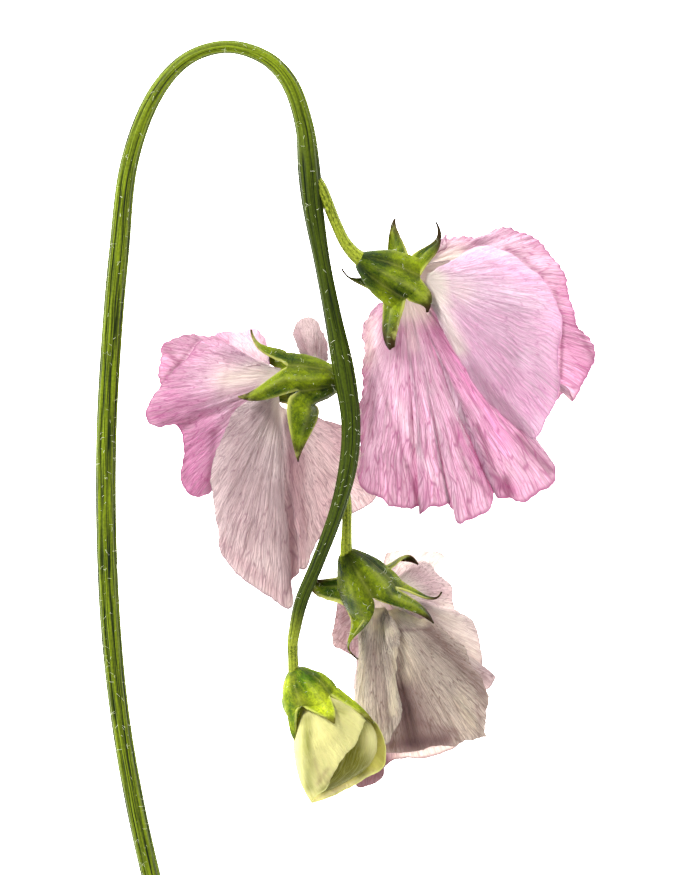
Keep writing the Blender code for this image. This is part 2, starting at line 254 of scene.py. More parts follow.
# %% Tissue group
def build_tissue_group():
    """Large soft patches and fine cells, both as values round 0.5."""
    tree, given, result = new_group(
        "plant tissue",
        [("Patch Scale", "NodeSocketFloat", 400.0), ("Cell Scale", "NodeSocketFloat", 2600.0)],
        [("Patches", "NodeSocketFloat"), ("Cells", "NodeSocketFloat")])
    place = tree.nodes.new("ShaderNodeTexCoord").outputs["Object"]
    patches = add(tree, "ShaderNodeTexNoise",
                  {"Vector": place, "Scale": given["Patch Scale"], "Detail": 4.0, "Roughness": 0.6})
    cells = add(tree, "ShaderNodeTexNoise",
                {"Vector": place, "Scale": given["Cell Scale"], "Detail": 3.0, "Roughness": 0.65})
    tree.links.new(patches.outputs[0], result["Patches"])
    tree.links.new(cells.outputs[0], result["Cells"])
    return tree


TISSUE = build_tissue_group()
print("tissue group:", len(TISSUE.nodes), "nodes")

# %% [markdown]
# ## Petal finish
# A petal is thin enough to glow when light comes from below, so its shader is a Principled surface
# mixed with a translucent one. A painted "tone" on the mesh says where it is deep pink (red), cream
# (green), and how near the margin is (blue); its alpha is painted shade, and painted light where it
# rises above 1. Veins and streaks then vary all of it, and cream lifts half of the shade back as
# painted light.

# %% Petal finish
def petal_finish(name, pale, deep, cream, edge, across=125.0, along=4.5, glow=0.55, contrast=1.6):
    """One petal finish: its four colours, how fine its veins are, its glow and its contrast."""
    finish, tree, shader = new_finish(name)
    (deepness, cream_and_painted_light, margin), painted_shade = painted(tree)
    pattern = use_group(tree, VEINS, {"Across": across, "Along": along})
    tissue = use_group(tree, TISSUE, {"Patch Scale": 230.0, "Cell Scale": 1500.0})
    drift = times(tree, minus(tree, tissue["Patches"], 0.5), 0.5)
    streak = times(tree, minus(tree, pattern["Streak"], 0.5), 1.1 * contrast)
    depth = plus(tree, plus(tree, deepness, drift), streak, clamp=True)
    colour = blend(tree, depth, srgb(*pale), srgb(*deep))
    colour = blend(tree, cream_and_painted_light, colour, srgb(*cream))
    shade = between(tree, pattern["Streak"], 0.32, 0.62, 1.0 - 0.24 * contrast, 1.0)
    # painted shade from the alpha darkens the streaks; where the paint is cream, half of that shade is lifted
    # again as painted light
    shade = times(tree, shade, painted_shade)
    relit = times(tree, minus(tree, 1.0, shade), cream_and_painted_light)
    shade = plus(tree, shade, times(tree, relit, 0.5))
    tinted_shade = add(tree, "ShaderNodeCombineColor", {0: calculate(tree, "POWER", shade, 0.75), 1: shade,
                                                2: calculate(tree, "POWER", shade, 0.92)})
    colour = blend(tree, 1.0, colour, tinted_shade.outputs[0], "MULTIPLY")
    bare = minus(tree, 1.0, times(tree, cream_and_painted_light, 0.7))
    line = times(tree, times(tree, pattern["Vein"], 0.38 * contrast), bare)
    line = calculate(tree, "MAXIMUM", line, times(tree, margin, 0.8))
    colour = blend(tree, line, colour, srgb(*edge))
    tree.links.new(colour, shader.inputs["Base Color"])
    rough = between(tree, tissue["Cells"], 0.3, 0.7, 0.46, 0.64)
    tree.links.new(rough, shader.inputs["Roughness"])
    shader.inputs["Specular IOR Level"].default_value = 0.2
    shader.inputs["Sheen Weight"].default_value = 0.08
    normal = emboss(tree, shader, pattern["Height"], 0.9, 0.0002)
    let_light_through(tree, shader, colour, normal, glow)
    return finish

# %% [markdown]
# The petals fade as they age, from the pink of the upper flower to the grey mauve of the lowest, so
# one function makes six finishes: the pale colour, the deep one, the claw's cream and the veins'.
# The near finish is the pink made lighter, as painted light on the wing that lies on top.

# %% Six petal finishes
CREAM = (1.0, 0.97, 0.93)
WARM_CREAM = (1.0, 0.96, 0.84)
FINISHES = {
    "pink": petal_finish("pink petal", (0.98, 0.92, 0.945), (0.89, 0.66, 0.795), CREAM,
                         (0.64, 0.34, 0.51)),
    # the near wing's finish: the pink made lighter and less translucent, as painted light
    "near": petal_finish("near petal", (0.99, 0.94, 0.97), (0.96, 0.73, 0.87), CREAM,
                         (0.70, 0.42, 0.60), glow=0.42, contrast=1.3),
    "blush": petal_finish("blush petal", (0.94, 0.90, 0.885), (0.80, 0.67, 0.69), CREAM,
                          (0.50, 0.37, 0.41), contrast=1.5),
    "shell": petal_finish("shell petal", (0.98, 0.95, 0.93), (0.82, 0.69, 0.72), CREAM,
                          (0.54, 0.40, 0.41), across=110.0, glow=0.58),
    "mauve": petal_finish("mauve petal", (0.96, 0.92, 0.85), (0.70, 0.61, 0.57), WARM_CREAM,
                          (0.48, 0.38, 0.35), across=95.0, glow=0.42, contrast=1.9),
    "bud": petal_finish("bud petal", (1.0, 0.98, 0.68), (0.52, 0.53, 0.02), CREAM,
                        (0.90, 0.90, 0.58), across=80.0, along=3.0, glow=0.4, contrast=0.5),
}
print("petal finishes:", ", ".join(FINISHES))

# %% [markdown]
# ## Green finishes
# The calyx is painted too: red for its raised veins, green for how far out along a tooth a point
# is, where it turns dry and brown, and blue for a painted highlight on the thin rim. The raised
# veins get a faint painted highlight in the same pale green, and the alpha is painted shade,
# deepest in the notches between the teeth. Sepals are thicker than petals, so less light comes
# through them.

# %% Calyx finish
def calyx_finish(name, dark, light, tip, lit):
    """Mottled green sepals with dry tips, painted highlights on the rim and veins, and painted shade."""
    finish, tree, shader = new_finish(name)
    (rib, dryness, margin), painted_shade = painted(tree)
    tissue = use_group(tree, TISSUE, {"Patch Scale": 190.0, "Cell Scale": 2600.0})
    pattern = use_group(tree, VEINS, {"Across": 74.0, "Along": 0.35, "Wander": 0.05})
    patch = plus(tree, between(tree, tissue["Patches"], 0.3, 0.7, 0.0, 0.85),
                 times(tree, minus(tree, pattern["Streak"], 0.5), 1.6), clamp=True)
    colour = blend(tree, patch, srgb(*dark), srgb(*light))
    colour = dim(tree, colour, between(tree, tissue["Cells"], 0.35, 0.62, 0.72, 1.1))
    colour = dim(tree, colour, painted_shade)
    # painted highlight on the raised veins and on the rim, in the lit colour
    colour = blend(tree, times(tree, rib, 0.16), colour, srgb(*lit))
    colour = blend(tree, times(tree, margin, 0.8), colour, srgb(*lit))
    husk = blend(tree, between(tree, tissue["Patches"], 0.52, 0.66, 0.0, 0.6), srgb(*tip), srgb(*lit))
    colour = blend(tree, dryness, colour, husk)
    tree.links.new(colour, shader.inputs["Base Color"])
    tree.links.new(between(tree, tissue["Cells"], 0.3, 0.7, 0.34, 0.54), shader.inputs["Roughness"])
    shader.inputs["Specular IOR Level"].default_value = 0.12
    height = plus(tree, times(tree, pattern["Height"], 0.8), tissue["Cells"])
    normal = emboss(tree, shader, height, 0.9, 0.00022)
    let_light_through(tree, shader, colour, normal, 0.34)
    return finish


FINISHES["calyx"] = calyx_finish("calyx", (0.16, 0.27, 0.01), (0.62, 0.69, 0.08),
                                 (0.24, 0.17, 0.06), (0.90, 0.90, 0.50))
FINISHES["bud calyx"] = calyx_finish("bud calyx", (0.30, 0.46, 0.03), (0.88, 0.93, 0.20),
                                     (0.50, 0.48, 0.16), (0.92, 0.94, 0.50))

# %% [markdown]
# ## The stalk's finish
# The stalk is ribbed. Its grooves carry painted shade and its ribs a painted highlight, long
# streaks run with the fibres, and a painted highlight lies along the top of the hook, so the shader
# reads the map that the tube carries: u round it and v along it. Past the hook it is darker, and its
# tip is as young and yellow as the flower stalks.

# %% Stalk finish
STALK_RIBS = 9
YOUNG = ((0.24, 0.28, 0.03), (0.56, 0.60, 0.18))    # groove and rib of the youngest parts
PAST_HOOK = (0.62, 0.72)      # how far along the stalk it turns darker
YOUNG_TIP = (0.975, 1.0)      # and where it turns as young as the flower stalks


def stalk_finish(name, groove, rib, far_groove, far_rib):
    """Ribs and fibres along a tube, in two pairs of colours."""
    finish, tree, shader = new_finish(name)
    place = add(tree, "ShaderNodeUVMap", uv_map="UVMap")
    around, along, _ = add(tree, "ShaderNodeSeparateXYZ", {0: place.outputs[0]}).outputs
    wave = calculate(tree, "SINE", times(tree, around, STALK_RIBS * math.pi))
    ridge = calculate(tree, "ABSOLUTE", wave)
    fibre_spot = add(tree, "ShaderNodeCombineXYZ",
                     {0: times(tree, around, 60.0), 1: times(tree, along, 26.0)})
    fibre = add(tree, "ShaderNodeTexNoise",
                {"Vector": fibre_spot.outputs[0], "Scale": 1.0, "Detail": 4.0}).outputs[0]
    tissue = use_group(tree, TISSUE, {"Patch Scale": 130.0, "Cell Scale": 2400.0})
    # painted shade in the grooves and painted highlight on the ribs, with the fibre streaks
    mask = plus(tree, between(tree, ridge, 0.05, 0.9, 0.0, 0.5),
                between(tree, fibre, 0.38, 0.62, -0.35, 0.6))
    # a painted highlight along the top of the hook
    mask = plus(tree, mask, between(tree, along, 0.42, 0.6, 0.0, 0.28), clamp=True)
    near_colour = blend(tree, mask, srgb(*groove), srgb(*rib))
    far_colour = blend(tree, mask, srgb(*far_groove), srgb(*far_rib))
    colour = blend(tree, between(tree, along, *PAST_HOOK), near_colour, far_colour)
    young_colour = blend(tree, mask, srgb(*YOUNG[0]), srgb(*YOUNG[1]))
    colour = blend(tree, between(tree, along, *YOUNG_TIP), colour, young_colour)
    colour = dim(tree, colour, between(tree, tissue["Cells"], 0.35, 0.65, 0.78, 1.1))
    tree.links.new(colour, shader.inputs["Base Color"])
    tree.links.new(between(tree, fibre, 0.3, 0.7, 0.36, 0.55), shader.inputs["Roughness"])
    shader.inputs["Specular IOR Level"].default_value = 0.08
    emboss(tree, shader, plus(tree, fibre, times(tree, tissue["Cells"], 0.7)), 0.6, 0.00012)
    return finish


FINISHES["stalk"] = stalk_finish("stalk", (0.05, 0.10, 0.01), (0.42, 0.48, 0.07),
                                 (0.03, 0.07, 0.01), (0.22, 0.27, 0.02))
FINISHES["pedicel"] = stalk_finish("flower stalk", *YOUNG, *YOUNG)

# %% [markdown]
# Two plain finishes are left: the pale down on everything green, and the wet face of the cut.

# %% Hair and cut finishes
def plain_finish(name, colour, roughness, patch_scale, dark):
    """Two colours in soft patches."""
    finish, tree, shader = new_finish(name)
    tissue = use_group(tree, TISSUE, {"Patch Scale": patch_scale, "Cell Scale": patch_scale * 6})
    mask = between(tree, tissue["Patches"], 0.35, 0.65)
    tree.links.new(blend(tree, mask, srgb(*dark), srgb(*colour)), shader.inputs["Base Color"])
    tree.links.new(between(tree, tissue["Cells"], 0.3, 0.7, roughness - 0.08, roughness + 0.08),
                   shader.inputs["Roughness"])
    return finish


FINISHES["hair"] = plain_finish("downy hair", (0.93, 0.94, 0.84), 0.45, 300.0, (0.75, 0.78, 0.60))
FINISHES["cut"] = plain_finish("cut end", (0.78, 0.82, 0.55), 0.5, 900.0, (0.56, 0.64, 0.32))
print(len(FINISHES), "finishes")

# %% [markdown]
# ## The stalk, by Geometry Nodes
# The stalk and the short flower stalks all follow one rule: a ribbed ring swept along a line whose
# radius changes. A Geometry Nodes tree says that rule once. It takes a curve, bends a circle into
# ribs, sweeps it, and writes u and v as the tube's map.

# %% Ribbed tube tree
def new_geometry_tree(name, inputs):
    """A Geometry Nodes tree with its sockets: a surface or line, named sizes and a material."""
    tree = bpy.data.node_groups.new(name, "GeometryNodeTree")
    face = tree.interface
    face.new_socket(name="Geometry", in_out="INPUT", socket_type="NodeSocketGeometry")
    for label, kind, default in inputs:
        face.new_socket(name=label, in_out="INPUT", socket_type=kind).default_value = default
    face.new_socket(name="Material", in_out="INPUT", socket_type="NodeSocketMaterial")
    face.new_socket(name="Geometry", in_out="OUTPUT", socket_type="NodeSocketGeometry")
    return tree, tree.nodes.new("NodeGroupInput").outputs, tree.nodes.new("NodeGroupOutput").inputs


def end_tree(tree, given, result, geometry):
    """Realize what the tree made and give it its material."""
    real = add(tree, "GeometryNodeRealizeInstances", {"Geometry": geometry})
    dress = add(tree, "GeometryNodeSetMaterial",
                {"Geometry": real.outputs[0], "Material": given["Material"]})
    tree.links.new(dress.outputs[0], result[0])


def build_tube_tree():
    """A ribbed ring swept along a line, with u round it and v along it."""
    tree, given, result = new_geometry_tree("ribbed tube", [
        ("Ribs", "NodeSocketInt", STALK_RIBS), ("Rib Depth", "NodeSocketFloat", 0.1),
        ("Sides", "NodeSocketInt", 72)])
    ring = add(tree, "GeometryNodeCurvePrimitiveCircle", {"Resolution": given["Sides"], "Radius": 1.0})
    around = tree.nodes.new("GeometryNodeSplineParameter").outputs["Factor"]
    ring_mark = add(tree, "GeometryNodeCaptureAttribute", {"Geometry": ring.outputs[0]})
    ring_mark.capture_items.new("FLOAT", "around")
    tree.links.new(around, ring_mark.inputs[1])
    turn = times(tree, times(tree, around, given["Ribs"]), math.pi)
    ridge = calculate(tree, "ABSOLUTE", calculate(tree, "SINE", turn))
    size = minus(tree, 1.0, times(tree, minus(tree, 1.0, ridge), given["Rib Depth"]))
    where = tree.nodes.new("GeometryNodeInputPosition").outputs[0]
    scaled = add(tree, "ShaderNodeVectorMath", {0: where, "Scale": size}, operation="SCALE")
    ribbed = add(tree, "GeometryNodeSetPosition",
                 {"Geometry": ring_mark.outputs[0], "Position": scaled.outputs[0]})
    line_mark = add(tree, "GeometryNodeCaptureAttribute", {"Geometry": given["Geometry"]})
    line_mark.capture_items.new("FLOAT", "along")
    tree.links.new(tree.nodes.new("GeometryNodeSplineParameter").outputs["Factor"], line_mark.inputs[1])
    sweep = add(tree, "GeometryNodeCurveToMesh",
                {"Curve": line_mark.outputs[0], "Profile Curve": ribbed.outputs[0], "Fill Caps": True})
    if "Scale" in sweep.inputs:
        tree.links.new(tree.nodes.new("GeometryNodeInputRadius").outputs[0], sweep.inputs["Scale"])
    chart = add(tree, "ShaderNodeCombineXYZ", {0: ring_mark.outputs[1], 1: line_mark.outputs[1]})
    store = add(tree, "GeometryNodeStoreNamedAttribute",
                {"Geometry": sweep.outputs[0], "Name": "UVMap", "Value": chart.outputs[0]},
                data_type="FLOAT2", domain="CORNER")
    smooth = add(tree, "GeometryNodeSetShadeSmooth", {"Geometry": store.outputs[0]})
    end_tree(tree, given, result, smooth.outputs[0])
    return tree


def set_inputs(modifier, values):
    """Give a Geometry Nodes modifier its inputs, by their identifiers."""
    for item in modifier.node_group.interface.items_tree:
        if item.item_type == "SOCKET" and item.in_out == "INPUT" and item.name in values:
            modifier[item.identifier] = values[item.name]


def freeze(source, name):
    """The evaluated result of an object as a plain mesh object, with the source removed."""
    scene_graph = bpy.context.evaluated_depsgraph_get()
    mesh = bpy.data.meshes.new_from_object(source.evaluated_get(scene_graph))
    mesh.name = name
    piece = bpy.data.objects.new(name, mesh)
    bpy.context.collection.objects.link(piece)
    bpy.data.objects.remove(source, do_unlink=True)
    return piece


def grow(name, data, node_tree, values):
    """Run a Geometry Nodes tree on a curve or mesh and keep what it makes."""
    source = bpy.data.objects.new(name + " source", data)
    bpy.context.collection.objects.link(source)
    modifier = source.modifiers.new(name, "NODES")
    modifier.node_group = node_tree
    set_inputs(modifier, values)
    piece = freeze(source, name)
    print(name, len(piece.data.polygons), "faces")
    return piece


TUBE_TREE = build_tube_tree()


def ribbed_tube(name, line, finish, steps, depth=0.1, sides=72):
    """Sweep the ribbed ring along a line of (x, y, z, diameter)."""
    rows = through(line, steps, flat=3)
    curve = bpy.data.curves.new(name + " line", "CURVE")
    curve.dimensions = "3D"
    path = curve.splines.new("POLY")
    path.points.add(steps - 1)
    places = to_frame(rows[:, :3])
    for point, place, row in zip(path.points, places, rows):
        point.co = (*place, 1.0)
        point.radius = row[3] * MM / 2
    return grow(name, curve, TUBE_TREE,
                {"Ribs": STALK_RIBS, "Rib Depth": depth, "Sides": sides, "Material": finish})

# %% [markdown]
# The stalk's own line, cut end first, and its diameters: it is stout below, thins round the hook,
# swells where the flower stalks leave it and ends in a narrow tip.

# %% Stalk lines
STALK = [
    (28.6, -15.0, 1.8, 3.3), (24.8, 0.0, 3.2, 3.3), (22.0, 13.0, 4.6, 3.3), (19.7, 27.2, 6.2, 3.3),
    (18.2, 43.0, 8.2, 3.5), (17.6, 60.0, 10.3, 3.5), (17.8, 76.0, 12.2, 3.5), (18.8, 92.0, 14.0, 3.5),
    (19.9, 104.0, 15.3, 3.5), (21.5, 118.0, 16.8, 3.1), (25.3, 128.8, 18.0, 2.8),
    (30.8, 135.5, 19.0, 2.4), (37.7, 137.8, 20.0, 2.2), (44.2, 136.0, 20.8, 2.5),
    (48.4, 131.6, 21.3, 2.9), (50.8, 124.5, 21.7, 3.2), (51.6, 117.0, 22.0, 3.9),
    (52.3, 110.5, 22.2, 3.5), (53.8, 101.7, 22.5, 2.8), (55.5, 93.0, 22.9, 3.0),
    (57.3, 84.0, 23.3, 3.7), (58.5, 75.5, 23.5, 3.3), (58.0, 68.0, 23.5, 3.1),
    (56.0, 60.2, 23.3, 2.5), (53.0, 52.3, 22.8, 2.3), (50.3, 45.8, 22.3, 2.3), (49.1, 40.6, 22.0, 2.0),
    (48.8, 38.4, 21.8, 1.8),
]
PEDICELS = {
    "upper_pedicel": [(52.2, 116.4, 22.2, 1.8), (53.4, 114.4, 22.3, 2.2), (54.6, 111.8, 22.3, 2.0),
                      (55.9, 108.6, 22.1, 1.9), (57.3, 105.6, 21.9, 2.0), (58.8, 103.6, 21.7, 2.3),
                      (60.4, 102.3, 21.6, 2.8)],
    "middle_pedicel": [(58.2, 82.2, 22.0, 1.9), (57.2, 82.3, 20.4, 2.0), (56.2, 82.4, 19.8, 2.2),
                       (55.2, 82.4, 19.6, 2.4)],
    "lower_pedicel": [(57.6, 63.6, 22.6, 1.6), (57.8, 61.2, 21.2, 1.7), (57.8, 58.2, 20.0, 1.7),
                      (57.7, 54.6, 18.5, 2.0), (57.8, 53.0, 18.2, 2.4)],
    "bud_pedicel": [(48.95, 39.8, 21.9, 1.5), (48.8, 38.2, 21.8, 1.85), (48.85, 36.6, 21.6, 1.75),
                    (48.95, 34.6, 21.3, 1.9), (49.2, 33.2, 21.1, 2.4)],
}
pieces = {"stem": ribbed_tube("stalk", STALK, FINISHES["stalk"], 560, depth=0.1)}
for name, line in PEDICELS.items():
    pieces[name] = ribbed_tube(name + "_skin", line, FINISHES["pedicel"], 40, depth=0.08, sides=48)

# %% [markdown]
# ## Down
# Fine pale hairs stand on the stalk and the sepals. They are the thing that repeats most, so
# Geometry Nodes scatter one bent hair over a surface with a fixed seed, tilt each one along the
# surface and realize them as a single light mesh.

# %% Hair tree
def build_hair_tree():
    """One bent hair, scattered over a surface at many sizes and turns."""
    tree, given, result = new_geometry_tree("downy hairs", [
        ("Density", "NodeSocketFloat", 100000.0), ("Length", "NodeSocketFloat", 0.001),
        ("Thickness", "NodeSocketFloat", 0.000022), ("Seed", "NodeSocketInt", 1)])
    spread = add(tree, "GeometryNodeDistributePointsOnFaces",
                 {"Mesh": given["Geometry"], "Density": given["Density"], "Seed": given["Seed"]})
    bend = add(tree, "GeometryNodeCurveQuadraticBezier",
               {"Resolution": 5, "Start": (0.0, 0.0, 0.0), "Middle": (0.1, 0.0, 0.75),
                "End": (0.75, 0.0, 0.8)})
    where = tree.nodes.new("GeometryNodeInputPosition").outputs[0]
    long_hair = add(tree, "ShaderNodeVectorMath", {0: where, "Scale": given["Length"]}, operation="SCALE")
    shaft = add(tree, "GeometryNodeSetPosition",
                {"Geometry": bend.outputs[0], "Position": long_hair.outputs[0]})
    ring = add(tree, "GeometryNodeCurvePrimitiveCircle", {"Resolution": 3, "Radius": given["Thickness"]})
    hair = add(tree, "GeometryNodeCurveToMesh",
               {"Curve": shaft.outputs[0], "Profile Curve": ring.outputs[0], "Fill Caps": True})
    spin = add(tree, "FunctionNodeRandomValue",
               {"Min": (-0.5, -0.5, 0.0), "Max": (0.5, 0.5, 6.28), "Seed": given["Seed"]},
               data_type="FLOAT_VECTOR")
    turn = add(tree, "FunctionNodeRotateRotation",
               {"Rotation": spread.outputs["Rotation"], "Rotate By": spin.outputs[0]},
               rotation_space="LOCAL")
    size = add(tree, "FunctionNodeRandomValue",
               {"Min": (0.35,) * 3, "Max": (1.15,) * 3, "Seed": given["Seed"]}, data_type="FLOAT_VECTOR")
    scatter = add(tree, "GeometryNodeInstanceOnPoints",
                  {"Points": spread.outputs["Points"], "Instance": hair.outputs[0],
                   "Rotation": turn.outputs[0], "Scale": size.outputs[0]})
    end_tree(tree, given, result, scatter.outputs[0])
    return tree


HAIR_TREE = build_hair_tree()


def downy(skin, name, density, length, seed):
    """Hairs over a finished surface, as a piece of their own."""
    return grow(name, skin.data.copy(), HAIR_TREE,
                {"Density": density, "Length": length, "Seed": seed, "Material": FINISHES["hair"]})

# %% [markdown]
# ## A petal as a fan
# A sweet pea petal grows as a fan: every line of tissue starts at the narrow claw and ends on the
# margin. So a petal here is a list of points round its margin, each with the height of the margin
# and of the middle of the spoke that reaches it. Smooth curves fill in the rest. Pleats, ruffles
# and veins then move the surface along its own normal, and two skins with a thin edge close it.

# %% Fan surface
PETAL_THICKNESS = 0.17
EDGE_TAPER = 0.4       # how much of that is left at the margin
TABLE_GAP = 0.15       # no petal comes nearer the table than this


def fan_grid(claw, margin, columns, rows, ragged=0.1):
    """Points of the fan, as columns of spokes, and each column's tip on the margin."""
    padded = [list(point) + [0.0] * (6 - len(point)) for point in margin]
    tips = through(padded, columns)
    away = tips[:, :2] - (np.array(claw[0][:2]) + np.array(claw[1][:2])) / 2
    away /= np.linalg.norm(away, axis=1, keepdims=True)
    for k in range(columns):
        spot = Vector((k / columns * len(margin) * 1.8, len(margin) * 1.0, 0.0))
        tips[k, :2] += away[k] * float(noise.fractal(spot, 0.8, 2.0, 3)) * ragged
    u = np.linspace(0.0, 1.0, columns)[:, None]
    t = np.linspace(0.0, 1.0, rows)[None, :] ** 0.85
    start, end = np.array(claw[0]), np.array(claw[1])
    base = start + (end - start) * u
    swing = 4 * t * (1 - t)
    x = base[:, 0:1] * (1 - t) + tips[:, 0:1] * t + tips[:, 4:5] * swing
    y = base[:, 1:2] * (1 - t) + tips[:, 1:2] * t + tips[:, 5:6] * swing
    z = base[:, 2:3] * (1 - t) * (1 - 2 * t) + tips[:, 2:3] * swing + tips[:, 3:4] * t * (2 * t - 1)
    return np.stack([x, y, z], axis=2), tips, u, t


def grid_normals(grid):
    """The direction that each point of a sheet faces, which is up on the whole."""
    across = np.gradient(grid, axis=0)
    along = np.gradient(grid, axis=1)
    normals = np.cross(across, along)
    length = np.linalg.norm(normals, axis=2, keepdims=True)
    normals = normals / np.maximum(length, 1e-9)
    return normals * (1.0 if normals[..., 2].mean() >= 0 else -1.0)


def wander(u, t, stretch, seed, octaves=3):
    """Smooth noise over the fan, between about -1 and 1."""
    result = np.empty((u.shape[0], t.shape[1]))
    for i in range(u.shape[0]):
        for j in range(t.shape[1]):
            spot = Vector((u[i, 0] * stretch[0], t[0, j] * stretch[1], seed * 7.3))
            result[i, j] = noise.fractal(spot, 1.0, 2.0, octaves)
    return result


def near_column(tips, spot):
    """The u of the margin point nearest to a place on the sheet."""
    distance = np.hypot(tips[:, 0] - spot[0], tips[:, 1] - spot[1])
    return int(distance.argmin()) / (len(tips) - 1)


def relief(tips, u, t, pleats, ruffle, crumple, veins, seed):
    """How far each point moves along its normal, in millimetres."""
    height = np.zeros((u.shape[0], t.shape[1]))
    for spot, width, depth, start, shape in pleats:
        offset = (u - near_column(tips, spot)) / width
        if shape == "valley":
            profile = -np.exp(-offset ** 2)
        elif shape == "step":
            profile = offset * np.exp(-offset ** 2) * 2.0
        else:
            profile = np.exp(-offset ** 2)
        height += depth * profile * ease(start, min(start + 0.5, 1.0), t)
    # the ruffle grows towards the margin, and a quicker frill follows it there
    size, waves = ruffle
    drift = wander(u, t, (3.0, 0.6), seed + 11, 2)
    height += size * np.sin(u * waves * math.tau + drift * 2.5) * ease(0.35, 1.0, t) * ease(-0.05, 0.08, u)
    frill = 0.6 * max(size - 0.15, 0.0)
    height += frill * np.sin(u * waves * 5 * math.tau + drift * 9.0) * ease(0.82, 1.0, t)
    # then the crumple of thin tissue, and fine, broad and sharp ridges that run with the veins
    height += crumple * wander(u, t, (7.0, 3.0), seed, 3) * ease(0.05, 0.4, t)
    fine = wander(u, t, (80.0, 1.8), seed + 3, 2) * ease(0.03, 0.2, t)
    broad = wander(u, t, (30.0, 1.3), seed + 5, 2) * ease(0.1, 0.5, t)
    folds = 1 - 2 * np.abs(wander(u, t, (17.0, 1.4), seed + 8, 3))
    height += veins * (1.5 * fine + 1.5 * broad + 1.6 * folds * ease(0.15, 0.7, t))
    return height

# %% [markdown]
# The paint is worked out on the same grid: cream at the claw, a tint on the margin, and soft
# strokes of deeper or paler pink, of cream, or of painted shade (the "dark" strokes, kept in the
# paint's alpha) in folds, under overlapping petals and along their shadows. A "dark" stroke with a
# negative strength is painted light, and some cream strokes are painted light as well. Each stroke
# is a short line on the sheet with a width and a strength.

# %% Petal paint and mesh
def paint(grid, tips, u, t, base, strokes, cream_reach, edge_reach):
    """Deepness, cream, margin and painted shade for every point of a petal."""
    tone = np.zeros(grid.shape[:2] + (4,))
    tone[..., 3] = 1.0
    level = np.full(grid.shape[:2], base, dtype=float)
    cream = 1.0 - ease(cream_reach * 0.35, cream_reach, t + 0.0 * u)
    x, y = grid[..., 0], grid[..., 1]
    for kind, x1, y1, x2, y2, width, amount in strokes:
        dx, dy = x2 - x1, y2 - y1
        run = max(dx * dx + dy * dy, 1e-6)
        part = np.clip(((x - x1) * dx + (y - y1) * dy) / run, 0.0, 1.0)
        distance = np.hypot(x - x1 - dx * part, y - y1 - dy * part)
        mark = amount * np.exp(-(distance / width) ** 2)
        if kind == "pink":
            level += mark
        # a "dark" stroke is painted shade, multiplied into the alpha; with a negative strength it is painted
        # light
        elif kind == "dark":
            tone[..., 3] *= 1.0 - mark
        else:
            cream = np.maximum(cream, mark)
    tone[..., 0] = np.clip(level, 0.0, 1.0)
    tone[..., 1] = np.clip(cream, 0.0, 1.0)
    side = np.minimum(u, 1.0 - u) + 0.0 * t
    edge = np.maximum(ease(1.0 - edge_reach, 1.0, t + 0.0 * u), 1.0 - ease(0.0, 0.008, side))
    tone[..., 2] = edge
    return tone


def two_skins(grid, normals, thickness):
    """Both skins of a sheet and the faces that close its edge, facing outwards."""
    columns, rows = grid.shape[:2]
    taper = np.ones((columns, rows))
    taper[:, -1] = taper[0, :] = taper[-1, :] = EDGE_TAPER
    offset = normals * (thickness / 2) * taper[..., None]
    verts = np.concatenate([(grid + offset).reshape(-1, 3), (grid - offset).reshape(-1, 3)])
    index = np.arange(columns * rows).reshape(columns, rows)
    a, b, c, d = index[:-1, :-1], index[1:, :-1], index[1:, 1:], index[:-1, 1:]
    top = np.stack([a, b, c, d], axis=-1).reshape(-1, 4)
    probe = np.cross(grid[1, 1] - grid[0, 1], grid[0, 2] - grid[0, 1])
    if np.dot(probe, normals[0, 1]) < 0:
        top = top[:, ::-1]
    under = top[:, ::-1] + columns * rows
    border = np.concatenate([index[:, 0], index[-1, 1:], index[-2::-1, -1], index[0, -2:0:-1]])
    following = np.roll(border, -1)
    rim = np.stack([border, following, following + columns * rows, border + columns * rows], axis=-1)
    first = top[0]
    edge_in_top = {(int(first[k]), int(first[(k + 1) % 4])) for k in range(4)}
    if (int(border[0]), int(following[0])) in edge_in_top:
        rim = rim[:, ::-1]
    return verts, np.concatenate([top, under, rim])


def mesh_piece(name, verts, faces, finish, tone, uv=None):
    """A smooth mesh object in the frame, with its tone and its map."""
    mesh = bpy.data.meshes.new(name)
    mesh.from_pydata(to_frame(verts), [], faces.tolist() if isinstance(faces, np.ndarray) else faces)
    layer = mesh.color_attributes.new("tone", "FLOAT_COLOR", "POINT")
    layer.data.foreach_set("color", np.asarray(tone, dtype=np.float32).ravel())
    if uv is not None:
        corners = np.empty(len(mesh.loops), dtype=np.int32)
        mesh.loops.foreach_get("vertex_index", corners)
        chart = mesh.uv_layers.new(name="UVMap")
        chart.data.foreach_set("uv", np.asarray(uv, dtype=np.float32)[corners].ravel())
    mesh.materials.append(finish)
    mesh.shade_smooth()
    piece = bpy.data.objects.new(name, mesh)
    bpy.context.collection.objects.link(piece)
    print(name, len(mesh.polygons), "faces")
    return piece


def petal(name, finish, claw, margin, base=0.4, pleats=(), ruffle=(0.3, 6), crumple=0.35, veins=0.05,
          strokes=(), cream_reach=0.22, edge_reach=0.03, seed=1, columns=220, rows=84, ragged=0.1):
    """One petal: its claw and margin, then its folds, its paint and how finely it is divided."""
    grid, tips, u, t = fan_grid(claw, margin, columns, rows, ragged)
    normals = grid_normals(grid)
    grid = grid + normals * relief(tips, u, t, pleats, ruffle, crumple, veins, seed)[..., None]
    grid[..., 2] = np.maximum(grid[..., 2], TABLE_GAP)
    tone = paint(grid, tips, u, t, base, strokes, cream_reach, edge_reach)
    verts, faces = two_skins(grid, grid_normals(grid), PETAL_THICKNESS)
    chart = np.stack([u + 0.0 * t, t + 0.0 * u], axis=-1).reshape(-1, 2)
    return mesh_piece(name, verts, faces, FINISHES[finish], np.tile(tone.reshape(-1, 4), (2, 1)),
                      np.tile(chart, (2, 1)))

# %% [markdown]
# The cut end is a slightly domed disc, paler than the skin, set over the tube's own cap.

